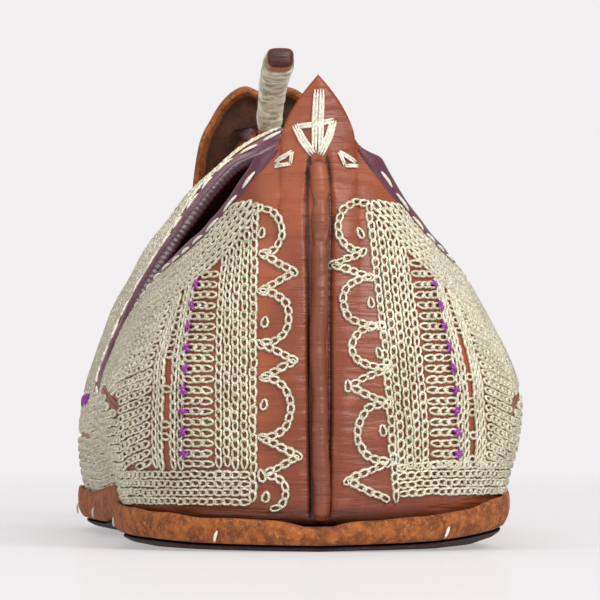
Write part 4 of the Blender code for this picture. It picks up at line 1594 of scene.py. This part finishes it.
@dataclass
class Tendril:
    """Strip that runs back from the vamp's nose, wound with thread and cut off bare at its end."""

    skin: Skin
    palette: Palette
    width: float = 5.0 * MM
    thickness: float = 4.0 * MM
    root_rise: float = 0.9 * MM
    squareness: float = 0.55
    wrap: tuple[float, float] = (0.05, 0.885)
    turns: int = 50
    places: int = 400
    thread: float = 0.40 * MM

    def route(self, count: int) -> tuple[Array, Array, Array]:
        """Route in the middle plane, evenly divided.

        Args:
            count: number of points.

        Returns:
            Points, out directions and shares of the width.
        """
        length = self.skin.form.length
        back, up, share = TENDRIL.T
        nose = np.array([0, STATIONS[-1].along * length - length / 2, Height.NOSE.value + self.root_rise])
        path = through(nose + np.stack([0 * back, -back * length, up * Height.NOSE.value], axis=-1), count)
        run = unit(np.gradient(path, axis=0))
        out = np.cross(np.array([[1.0, 0, 0]]), run)
        wide = monotone(np.linspace(0, 1, len(TENDRIL)), share, np.linspace(0, 1, count))
        return path, out, wide

    def outline(self, turn: Array, wide: Array, deep: Array) -> tuple[Array, Array]:
        """Flattened round of the strip.

        Args:
            turn: angles round the strip.
            wide: width.
            deep: thickness.

        Returns:
            Offsets across the strip and through it.
        """
        across, through_it = squared(turn, self.squareness)
        return across * wide / 2, through_it * deep / 2

    def build(self) -> None:
        """Makes the strip and the winding: one thread that goes round the strip as it moves along it."""
        rings, corners = 150, 28
        path, out, wide = self.route(rings)
        at = np.linspace(0, 1, rings)
        drawn = 0.5 * MM * eased(at, self.wrap[0] - 0.01, self.wrap[0] + 0.02)
        drawn = drawn * (1 - eased(at, self.wrap[1] - 0.01, self.wrap[1] + 0.015))
        end = 1 - 0.10 * eased(at, 0.985, 1.0)
        turn = round_angles(corners)
        wide, thick = (self.width * wide - 2 * drawn) * end, (self.thickness - 2 * drawn) * end
        across, deep = self.outline(turn[None], wide[:, None], thick[:, None])
        side = np.array([1.0, 0, 0])
        points = path[:, None] + side * across[..., None] + out[:, None] * deep[..., None]
        points = np.concatenate([points, points[:, :1]], axis=1)
        quads = grid_quads(rings, corners + 1)[:, ::-1]
        cap = end_cap(corners)
        quads = np.concatenate([quads, cap[:, ::-1], cap + (rings - 1) * (corners + 1)])
        strip = new_object("tendril_strip", points, quads, [self.palette.of(UPPER_LEATHER)])
        # The same darkening attribute darkens the strip's cut end
        mark(strip, "trough", np.tile((0.5 * (at > 0.995)).astype(float)[:, None], corners + 1))
        joined(strip, True)
        dressed(strip, "upper_leather", "toe_tendril")
        self.wind()

    def wind(self) -> None:
        """The winding: angle grows evenly, the place along the strip grows with it, tighter at the root."""
        count = self.turns * 20
        turn = np.linspace(0, self.turns * 2 * math.pi, count)
        share = np.linspace(0, 1, count)
        along = self.wrap[0] + (self.wrap[1] - self.wrap[0]) * (0.82 * share + 0.18 * share**1.6)
        path, out, wide = self.route(self.places)
        spot, face = read_rows(path, along), unit(read_rows(out, along))
        low = (along * (self.places - 1)).astype(int)
        draw = np.random.default_rng(3)
        loose = draw.uniform(-0.16, 0.14, self.turns) * MM
        slack = np.interp(turn, np.linspace(0, turn[-1], self.turns), loose)
        grown = 2 * (slack - 0.02 * MM)
        across, deep = self.outline(turn, self.width * wide[low] + grown, self.thickness + grown)
        side = np.array([1.0, 0, 0])
        line = spot + side * across[:, None] + face * deep[:, None]
        outs = unit(side * across[:, None] + face * deep[:, None])
        points, quads = strands(line[None], outs[None], np.full((1, count), self.thread), 6, 0.9)
        winding = new_object("tendril_winding", points, quads, [self.palette.of(WINDING)])
        dressed(winding, "gold_thread", "tendril_wrap")


# The embroidery


class Chart:
    """Fine grid of the right half with the distances that rows of stitches follow.

    Fields, each one figure for every place: foot and top are lengths along the wall from the sole and from
    the top edge, girth is the length round the shoe from the heel seam at the same height, throat is the
    distance from the throat's edge, and x and z are the place itself.
    """

    def __init__(self, form: Form, per_station: int = 46, levels: int = 121) -> None:
        """Works out the fields.

        Args:
            form: the shoe's form.
            per_station: columns between two stations.
            levels: places up the wall.
        """
        self.at = np.linspace(0, NOSE, NOSE * per_station + 1)
        self.level = np.linspace(0, 1, levels)
        self.points = form.wall(self.at[:, None], self.level[None])
        steps = np.linalg.norm(np.diff(self.points, axis=1), axis=2)
        foot = np.concatenate([np.zeros((len(self.at), 1)), np.cumsum(steps, axis=1)], axis=1)
        rim = form.wall(np.linspace(LOW_SIDE + 1, THROAT, 60), np.ones(60))
        away = np.full(foot.shape, 1.0)
        for spot in rim:
            away = np.minimum(away, np.linalg.norm(self.points - spot, axis=2))
        station, level = np.meshgrid(self.at, self.level, indexing="ij")
        self.fields = {
            "foot": foot,
            "top": foot[:, -1:] - foot,
            "throat": away,
            "x": self.points[..., 0],
            "z": self.points[..., 2],
            "at": station,
            "level": level,
            "girth": self.girth(),
        }

    def girth(self) -> Array:
        """Length round the shoe from the heel seam, added up along lines of equal height.

        Returns:
            The field, one figure for every place.
        """
        heights = np.linspace(4.6 * MM, 77 * MM, 110)
        plan = [[np.interp(heights, wall[:, 2], wall[:, k]) for k in range(2)] for wall in self.points]
        gone = np.cumsum(np.linalg.norm(np.diff(plan, axis=0), axis=1), axis=0)
        rows = np.vstack([np.zeros(len(heights)), gone])
        return np.stack([np.interp(wall[:, 2], heights, row) for wall, row in zip(self.points, rows)])

    def contour(self, values: Array, keep: Array, across: bool = False) -> list[Array]:
        """Lines where a field is zero, one place in each column, or in each level when across.

        Args:
            values: the field.
            keep: True where a line may run.
            across: look along the stations instead of up the wall.

        Returns:
            Unbroken lines of (at, level) places.
        """
        station, level = self.fields["at"], self.fields["level"]
        if across:
            values, keep, station, level = values.T, keep.T, station.T, level.T
        change = (values[:, :-1] * values[:, 1:] <= 0) & keep[:, :-1]
        found = change.any(axis=1)
        cell = change.shape[1] - 1 - np.argmax(change[:, ::-1], axis=1)
        row = np.arange(len(values))
        first, second = values[row, cell], values[row, cell + 1]
        part = first / np.where(np.abs(first - second) < 1e-12, 1, first - second)
        line = np.array([f[row, cell] * (1 - part) + f[row, cell + 1] * part for f in (station, level)]).T
        index = np.flatnonzero(found)
        if not len(index):
            return []
        breaks = np.flatnonzero(np.diff(index) > 1) + 1
        return [line[run] for run in np.split(index, breaks) if len(run) > 2]

    def locate(self, seen: Array) -> Array:
        """Places whose rear view is nearest to given points, on the heel's right half.

        The nearest place of the grid is found first. One step along the grid's own slopes then corrects it.

        Args:
            seen: (x, z) points in millimetres.

        Returns:
            (at, level) places.
        """
        part = slice(0, int(len(self.at) * REAR / NOSE))
        x, z = self.fields["x"][part], self.fields["z"][part]
        found = []
        for a, b in zip(np.abs(seen[:, 0] * MM), seen[:, 1] * MM):
            away = (x - a) ** 2 + (z - b) ** 2
            i, j = np.unravel_index(np.argmin(away), away.shape)
            i, j = min(max(i, 1), x.shape[0] - 2), min(max(j, 1), x.shape[1] - 2)
            turn = np.array([[f[i + 1, j] - f[i - 1, j], f[i, j + 1] - f[i, j - 1]] for f in (x, z)]) / 2
            shift = np.linalg.lstsq(turn, np.array([a - x[i, j], b - z[i, j]]), rcond=None)[0]
            found.append((np.array([i, j]) + np.clip(shift, -1, 1)) * [self.at[1], self.level[1]])
        return np.array(found)

    def rear(self, seen: Array, skin: Skin) -> tuple[Array, Array]:
        """Points of the seen surface at places of the rear view.

        Args:
            seen: (x, z) points in millimetres, below zero on the left.
            skin: the seen surface.

        Returns:
            Points and out directions.
        """
        at, level = np.clip(self.locate(seen), 0, [NOSE, 1]).T
        right, left = skin.place(at, level, 1.0), skin.place(at, level, -1.0)
        on_left = (seen[:, 0] < 0)[:, None]
        return np.where(on_left, left[0], right[0]), np.where(on_left, left[1], right[1])


class Peak(Enum):
    """Shape of a tooth in the zigzag border."""

    LOBE = 0.75
    SPIKE = 1.0


# Zigzag border beside the heel seam, seen from behind, in millimetres: where its teeth spring from, and how
# far and in which shape each reaches towards the seam
BORDER_ROOTS = {
    Side.RIGHT: (
        (8.1, 57.0), (7.2, 48.8), (8.6, 44.6), (10.5, 36.7),
        (11.2, 29.9), (11.0, 24.0), (11.4, 14.7), (11.0, 8.4),
    ),
    Side.LEFT: (
        (10.3, 55.9), (9.5, 48.5), (9.6, 42.3), (9.8, 33.9),
        (9.4, 28.2), (9.7, 18.6), (9.3, 12.4), (7.7, 7.0),
    ),
}
BORDER_PEAKS = {
    Side.RIGHT: (
        (3.0, Peak.LOBE), (1.9, Peak.SPIKE), (3.7, Peak.LOBE), (5.2, Peak.LOBE),
        (4.5, Peak.SPIKE), (6.1, Peak.LOBE), (4.3, Peak.SPIKE),
    ),
    Side.LEFT: (
        (5.9, Peak.LOBE), (4.0, Peak.SPIKE), (4.9, Peak.LOBE), (3.9, Peak.SPIKE),
        (4.7, Peak.LOBE), (3.3, Peak.SPIKE), (5.4, Peak.LOBE),
    ),
}
BORDER_DOTS = {
    Side.RIGHT: ((6.5, 52.5), (8.3, 41.2), (9.5, 33.0), (10.1, 20.4)),
    Side.LEFT: ((9.0, 52.6), (8.8, 38.0), (8.9, 24.6), (8.6, 9.6)),
}
# Back edge of the quarter's panel: distance from the seam at the bottom and at the top, in millimetres
PANEL_BACK = {Side.RIGHT: (12.6, 8.7), Side.LEFT: (10.8, 10.8)}
PANEL_LOW, PANEL_HIGH = 8.0, 56.0
# Bands of the quarter's panel, as lengths forward from its back edge
COMB, LEAVES, FRONT = (7.0 * MM, 12.6 * MM), (15.4 * MM, 17.2 * MM), 20.4 * MM
UPRIGHTS = np.array([13.3, 14.8, 17.7, 19.2]) * MM
# The quarter ends just in front of its lowest place
QUARTER_END = LOW_SIDE + 0.9
# Stations where the vamp's rows start round the throat, start along the ridge, and end at the toe
AROUND_START, RIDGE_START, VAMP_END = 7.4, 7.6, 15.9
# Vamp's comb band: lengths above the sole's rows and stations that it lies between
BAND, BAND_STATIONS = (14.3 * MM, 20.4 * MM), (8.6, 15.2)


@dataclass
class Embroidery:
    """Chain stitch in pale gold over the quarters and the vamp, with magenta knots."""

    skin: Skin
    chart: Chart
    palette: Palette
    pitch: float = 1.50 * MM
    row: float = 1.46 * MM
    link_width: float = 1.02 * MM
    link_length: float = 1.92 * MM
    thread: float = 0.29 * MM
    link_points: int = 8
    under_edging: float = 1.7 * MM
    over_sole: float = 3.7 * MM
    first_upright: float = 0.1 * MM
    seam_start: float = 3.6
    seam_level: float = 0.36
    seam_rise: float = 0.235
    seed: int = 17

    def __post_init__(self) -> None:
        """Starts the lists of links and knots, by piece."""
        self.draw = np.random.default_rng(self.seed)
        self.links: dict[str, list[tuple[Array, Array, Array]]] = {}
        self.knots: dict[Side, list[Array]] = {side: [] for side in Side}

    def run(self, piece: str, side: Side, line: Array, pitch: float | None = None) -> None:
        """Lays a row of links along a line of places, evenly spaced and a little unsteady.

        Args:
            piece: name of the piece that takes them.
            side: half of the shoe.
            line: (at, level) places.
            pitch: length from link to link, where it isn't the usual one.
        """
        pitch = pitch or self.pitch
        point, out = self.skin.place(line[:, 0], line[:, 1], side.value)
        gone = length_run(point)
        count = int(gone[-1] / pitch)
        if count < 1:
            return
        step = gone[-1] / count
        at = (np.arange(count) + 0.5) * step
        before, after = (read_along(at + part * step, gone, point) for part in (-0.45, 0.45))
        scale = np.full((count, 1), step / self.pitch)
        facing = np.concatenate([unit(read_along(at, gone, out)), scale], axis=1)
        link = (read_along(at, gone, point), unit(after - before), facing)
        self.links.setdefault(piece, []).append(link)

    def loops(self, name: str) -> None:
        """Makes one mesh of all links of a piece.

        A link is a drop-shaped ring: length times minus cosine, width times sine times (1 less a share of the
        cosine), raised towards its round end, with a three-cornered thread carried round it.

        Args:
            name: the piece's name.
        """
        where, heading, rest = (np.concatenate(part) for part in zip(*self.links.pop(name)))
        facing, scale = rest[:, :3], rest[:, 3]
        count = len(where)
        turned = self.draw.normal(0, 0.07, count)
        across = unit(np.cross(facing, heading))
        heading = unit(heading * np.cos(turned)[:, None] + across * np.sin(turned)[:, None])
        across = unit(np.cross(facing, heading))
        where = where + across * self.draw.normal(0, 0.06 * MM, count)[:, None]
        wide = self.draw.normal(1.0, 0.07, count)
        long = self.draw.normal(1.0, 0.05, count) * scale
        angle = round_angles(self.link_points)
        drop = 1 - 0.32 * np.cos(angle)
        along = -self.link_length / 2 * np.cos(angle)
        centre = np.stack([along, self.link_width / 2 * np.sin(angle) * drop], axis=-1)
        outward = unit(np.stack([-np.cos(angle) * 0.8, np.sin(angle)], axis=-1))
        height = (0.10 + 0.16 * (1 - np.cos(angle)) / 2) * MM
        section = np.array([(-1.0, -0.25), (1.0, -0.25), (0.0, 1.45)]) * self.thread
        plan = centre[:, None] + outward[:, None] * section[None, :, :1]
        high = height[:, None] + section[None, :, 1]
        local = np.concatenate([plan, high[..., None]], axis=-1).reshape(-1, 3)
        points = (
            where[:, None]
            + heading[:, None] * (local[None, :, 0] * long[:, None])[..., None]
            + across[:, None] * (local[None, :, 1] * wide[:, None])[..., None]
            + facing[:, None] * local[None, :, 2, None]
        )
        index = np.arange(self.link_points * 3).reshape(self.link_points, 3)
        on, round_it = np.roll(index, -1, axis=0), np.roll(index, -1, axis=1)
        both = np.roll(on, -1, axis=1)
        one = np.stack([index, on, both, round_it], axis=-1).reshape(-1, 4)
        quads = one[None] + (np.arange(count) * len(local))[:, None, None]
        dressed(new_object(name, points, quads, [self.palette.of(GOLD)]), "gold_thread")

    def rows(
        self,
        piece: str,
        side: Side,
        values: Array,
        offsets: Array,
        keep: Array,
        across: bool = False,
        pitch: float | None = None,
        knotted: int = 0,
    ) -> None:
        """Lays one row for each offset, along the line where the field equals it.

        Args:
            piece: name of the piece that takes them.
            side: half of the shoe.
            values: the field.
            offsets: its value on each row.
            keep: True where a row may run.
            across: look along the stations instead of up the wall.
            pitch: length from link to link, where it isn't the usual one.
            knotted: every second row ends in a knot where it has more places than this.
        """
        for number, offset in enumerate(offsets):
            for line in self.chart.contour(values - offset, keep, across):
                self.run(piece, side, line, pitch)
                if knotted and number % 2 and len(line) > knotted:
                    self.knots[side].append(line[-1])

    def border(self, piece: str, side: Side) -> None:
        """Zigzag beside the seam: each tooth swings out with a power of a sine, or in straight lines.

        Args:
            piece: name of the piece that takes it.
            side: half of the shoe.
        """
        roots, peaks = BORDER_ROOTS[side], BORDER_PEAKS[side]
        seen = []
        for (x0, z0), (x1, z1), (reach, peak) in zip(roots[:-1], roots[1:], peaks):
            part = np.linspace(0, 1, 13)[:-1]
            x, z = x0 + (x1 - x0) * part, z0 + (z1 - z0) * part
            if peak is Peak.LOBE:
                swing = np.sin(part * math.pi) ** peak.value
                z = z0 + (z1 - z0) * (1 - np.cos(part * math.pi)) / 2
            else:
                swing = 1 - np.abs(2 * part - 1)
            seen.append(np.stack([x + (reach - x) * swing, z], axis=-1))
        line = self.chart.locate(np.concatenate([*seen, [roots[-1]]]))
        self.run(piece, side, line, 1.45 * MM)
        for spot in BORDER_DOTS[side]:
            place = np.array([spot, (spot[0] + 0.3, spot[1] - 1.35)])
            self.run(piece, side, self.chart.locate(place), 1.35 * MM)

    def side_line(self, at: Array) -> Array:
        """Level of the line where the quarter laps the wing."""
        return self.seam_level + (at - self.seam_start) * self.seam_rise

    def quarter(self, side: Side) -> None:
        """Panel of the quarter: upright rows at its back, rows under the edging and above the sole, combs.

        Args:
            side: half of the shoe.
        """
        name = f"quarter_embroidery_{side.name.lower()}"
        f = self.chart.fields
        z = f["z"] / MM
        low, high = PANEL_BACK[side]
        back = f["girth"] - (low + (high - low) * (z - PANEL_LOW) / (PANEL_HIGH - PANEL_LOW)) * MM
        quarter = (f["at"] < QUARTER_END) & (z < PANEL_HIGH + 0.8)
        foot = f["foot"] - self.skin.form.rim_extra[side is Side.LEFT] * eased(f["at"], 0.6, 2.8)
        seam = f["level"] - self.side_line(f["at"])
        above = (seam > 0.02) | (f["at"] < self.seam_start)
        free = quarter & (f["foot"] > 3.4 * MM)
        inside = free & (f["foot"] > 9.2 * MM) & (f["top"] > 10.0 * MM)
        under, over = self.under_edging + self.row * np.arange(26), self.over_sole + self.row * np.arange(18)
        self.border(name, side)
        # Rows under the edging, then rows above the sole
        self.rows(name, side, f["top"], under[:6], free & above & (back > 0.6 * MM))
        self.rows(name, side, foot, over[:4], quarter & (back > 0.6 * MM) & (f["top"] > 10.2 * MM))
        # Upright rows at the back, the outermost one up to the panel's point
        self.rows(name, side, back, [self.first_upright], free & (f["top"] > 1.2 * MM), True)
        self.rows(name, side, back, self.first_upright + self.row * np.arange(1, 5), inside, True)
        # Comb of short level rows, with a knot at every second end
        heights = np.arange(14.2, 47, 1.72) * MM
        self.rows(name, side, f["z"], heights, inside & within(back, *COMB), pitch=1.4 * MM, knotted=12)
        # Pale upright rows in front of the comb, then rows that follow the topline down to the side seam
        self.rows(name, side, back, UPRIGHTS, inside & above, True)
        self.rows(name, side, f["top"], under[6:], inside & above & (back > FRONT))
        # Leaves between the upright rows
        heights = np.arange(13, 44, 1.9) * MM
        self.rows(name, side, f["z"], heights, inside & above & within(back, *LEAVES), pitch=1.3 * MM)
        # Wing below the side seam
        self.rows(name, side, foot, over[4:], quarter & (f["at"] > self.seam_start) & (seam < -0.045))

    def vamp(self, side: Side) -> None:
        """Vamp: rows round the throat, above the sole and along the ridge, and a comb band between them.

        Args:
            side: half of the shoe.
        """
        name = f"vamp_embroidery_{side.name.lower()}"
        f = self.chart.fields
        toe = eased(f["at"], 13.6, 15.8) * 5.0 * MM
        vamp = (f["at"] >= QUARTER_END) & (f["at"] < VAMP_END)
        foot = f["foot"] - toe - self.skin.form.rim_extra[side is Side.LEFT]
        steps = self.over_sole + self.row * np.arange(7)
        self.rows(name, side, foot, steps, vamp & (f["top"] > 2.0 * MM))
        around = vamp & (foot > 13.6 * MM) & (f["at"] > AROUND_START)
        self.rows(name, side, f["throat"], 2.3 * MM + self.row * np.arange(6), around)
        # Rows along the ridge, every seventh one left out
        number = np.arange(44)
        steps = 0.75 * MM + self.row * number[number % 7 != 5]
        high = around & (f["throat"] > 11.3 * MM) & (foot > 21.6 * MM) & (f["at"] > RIDGE_START)
        self.rows(name, side, f["top"], steps, high)
        # Comb band between the two, with knots, its ribs evenly spaced along the band's middle
        kept = within(self.chart.at, *BAND_STATIONS)
        middle = self.chart.at[kept]
        level = np.array([np.interp(17 * MM, column, self.chart.level) for column in foot[kept]])
        gone = length_run(self.skin.form.wall(middle, level))
        stations = np.interp(np.arange(1 * MM, gone[-1], 2.1 * MM), gone, middle)
        band = within(foot, *BAND) & vamp & (f["throat"] > 10.8 * MM)
        self.rows(name, side, f["at"], stations, band, True, 1.45 * MM, 6)
        # Zigzag that closes the embroidery at the toe
        count = 15
        station = 16.12 + 0.16 * (np.arange(count) % 2)
        tooth = np.stack([station, np.linspace(0.30, 0.985, count)], axis=-1)
        self.run(name, side, divided(tooth, np.linspace(0, 1, 160)), 1.4 * MM)

    def knot_mesh(self, side: Side) -> None:
        """Knots of magenta thread: each a few crossed short threads.

        Args:
            side: half of the shoe.
        """
        places = np.array(self.knots[side])
        point, out = self.skin.place(places[:, 0], places[:, 1], side.value)
        ahead = unit(np.cross(out, np.array([0.0, 0, 1.0])))
        upward = np.cross(ahead, out)
        parts = []
        steps = 5
        for angle in (0.5, 1.5, 2.5):
            heading = ahead * math.cos(angle) + upward * math.sin(angle)
            turned = self.draw.normal(0, 0.35, len(point))[:, None]
            heading = unit(heading + upward * turned)
            line = np.linspace(-0.5, 0.5, steps)
            size = self.draw.uniform(1.8, 2.6, len(point)) * MM
            arch = (0.42 + 0.30 * np.cos(line * math.pi)) * MM
            paths = point[:, None] + heading[:, None] * (line[None] * size[:, None])[..., None]
            paths = paths + out[:, None] * arch[None, :, None]
            outs = np.repeat(out[:, None], steps, 1)
            parts.append(strands(paths, outs, 0.27 * MM * tapered(steps), 4, 0.9))
        name = f"magenta_knots_{side.name.lower()}"
        dressed(new_object(name, *together(parts), [self.palette.of(MAGENTA)]), "gold_thread")

    def side_seam(self) -> None:
        """Raised double line where the quarter laps the wing, each a thin roll of leather."""
        parts = []
        for side in Side:
            for offset in (-0.012, 0.012):
                at = np.linspace(self.seam_start, 6.25, 90)
                point, out = self.skin.place(at, self.side_line(at) - 0.014 + offset, side.value)
                radius = 0.33 * MM * (0.5 + 0.5 * tapered(90, 0.3))
                parts.append(strands(point[None], out[None], radius[None], 8, 0.9))
        seam = new_object("side_seam_rolls", *together(parts), [self.palette.of(CORD_LEATHER)])
        mark(seam, "trough", np.zeros(len(seam.data.vertices)))
        dressed(seam, "upper_leather")

    def build(self) -> None:
        """Makes every embroidered piece."""
        for side in Side:
            self.quarter(side)
            self.vamp(side)
            for part in ("quarter", "vamp"):
                self.loops(f"{part}_embroidery_{side.name.lower()}")
            self.knot_mesh(side)
        self.side_seam()


# Stage, light and camera


@dataclass
class Studio:
    """Pale floor, soft light from the front and the camera at the photograph's angle."""

    eye: tuple[float, float, float] = (-0.043, -1.2325, 0.0261)
    aim: tuple[float, float] = (0.0363, 0.0135)
    lit: tuple[float, float, float] = (0.0, -0.05, 0.03)
    lens: float = 405.0
    backdrop: Colour = (0.888, 0.871, 0.879)
    floor_colour: Colour = (0.77, 0.757, 0.762)
    shine: float = 0.24
    floor_glow: float = 0.45
    floor_reach: float = 30.0

    def build(self) -> None:
        """Sets the stage, the lights, the surroundings and the camera."""
        self.floor()
        self.light("key", (0.85, -1.55, 1.25), 1.1, 36.0)
        self.light("fill", (-1.25, -1.25, 0.75), 1.5, 9.0)
        self.light("crown", (0.0, 0.5, 1.6), 1.6, 16.0)
        self.surroundings()
        self.camera()
        bpy.context.scene.view_settings.view_transform = "Standard"

    def floor(self) -> None:
        """Flat floor that fades to the backdrop's own light far from the shoe, so no horizon shows."""
        corners = np.array([(-1, -1, 0), (1, -1, 0), (1, 1, 0), (-1, 1, 0)]) * self.floor_reach
        book = Book("pale_floor")
        distance = book.node("VectorMath", {"operation": "LENGTH"}, {0: book.where}, "Value")
        far = book.between(distance, 0.28, 0.95)
        book.paint(Base_Color=self.floor_colour, Roughness=0.55)
        polish = book.node("BsdfGlossy", None, {"Color": self.backdrop, "Roughness": 0.09})
        near = book.node("MixShader", None, {0: self.shine, 1: Wire(book, book.shader.outputs[0]), 2: polish})
        glow = book.node("Emission", None, {"Color": self.backdrop})
        share = far * (1 - self.floor_glow) + self.floor_glow
        mixed = book.node("MixShader", None, {0: share, 1: near, 2: glow})
        book.tree.links.new(mixed.socket, book.tree.nodes["Material Output"].inputs["Surface"])
        floor = new_object("floor", corners, np.array([[0, 1, 2, 3]]), [book.material])

    def light(self, name: str, place: tuple[float, float, float], size: float, power: float) -> None:
        """Square soft light that looks at the shoe.

        Args:
            name: the light's name.
            place: where it stands.
            size: its side.
            power: in watts.
        """
        lamp = bpy.data.lights.new(name, "AREA")
        lamp.energy, lamp.size = power, size
        holder = bpy.data.objects.new(name, lamp)
        holder.location = place
        heading = Vector(self.lit) - Vector(place)
        holder.rotation_euler = heading.to_track_quat("-Z", "Y").to_euler()
        bpy.context.scene.collection.objects.link(holder)

    def surroundings(self) -> None:
        """Even pale surroundings, brighter to the eye than the light that they give."""
        world = bpy.data.worlds.new("surroundings")
        world.use_nodes = True
        bpy.context.scene.world = world
        tree = world.node_tree
        back = tree.nodes["Background"]
        back.inputs["Color"].default_value = (*self.backdrop, 1)
        ray = tree.nodes.new("ShaderNodeLightPath")
        strength = tree.nodes.new("ShaderNodeMapRange")
        strength.inputs["To Min"].default_value = 0.50
        strength.inputs["To Max"].default_value = 1.0
        tree.links.new(ray.outputs["Is Camera Ray"], strength.inputs["Value"])
        tree.links.new(strength.outputs["Result"], back.inputs["Strength"])

    def camera(self) -> None:
        """Long lens from behind and a little to the left, close above the floor."""
        lens = bpy.data.cameras.new("camera")
        lens.lens = self.lens
        lens.clip_end = 100
        holder = bpy.data.objects.new("camera", lens)
        holder.location = self.eye
        heading = Vector((math.tan(self.aim[0]), 1, math.tan(self.aim[1])))
        holder.rotation_euler = heading.to_track_quat("-Z", "Y").to_euler()
        bpy.context.scene.collection.objects.link(holder)
        bpy.context.scene.camera = holder


def dress_footbed(frame: dict, palette: Palette) -> None:
    """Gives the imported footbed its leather."""
    node = frame["nodes"]["insole"]
    node.data.materials.clear()
    node.data.materials.append(palette.of(FOOTBED))


def main(frame: dict) -> None:
    """Builds the shoe's looks, piece by piece.
    """
    form, palette = Form(), Palette()
    skin = Skin(form)
    chart = Chart(form)
    Studio().build()
    UpperShell(skin, palette).build()
    SoleUnit(skin, palette).build()
    Edging(skin, palette).build()
    HeelSeam(skin, palette).build(chart)
    Tendril(skin, palette).build()
    Embroidery(skin, chart, palette).build()
    dress_footbed(frame, palette)


if __name__ == "__main__":
    logging.basicConfig(level=logging.INFO, format="%(message)s")
    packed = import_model()
    main(packed)
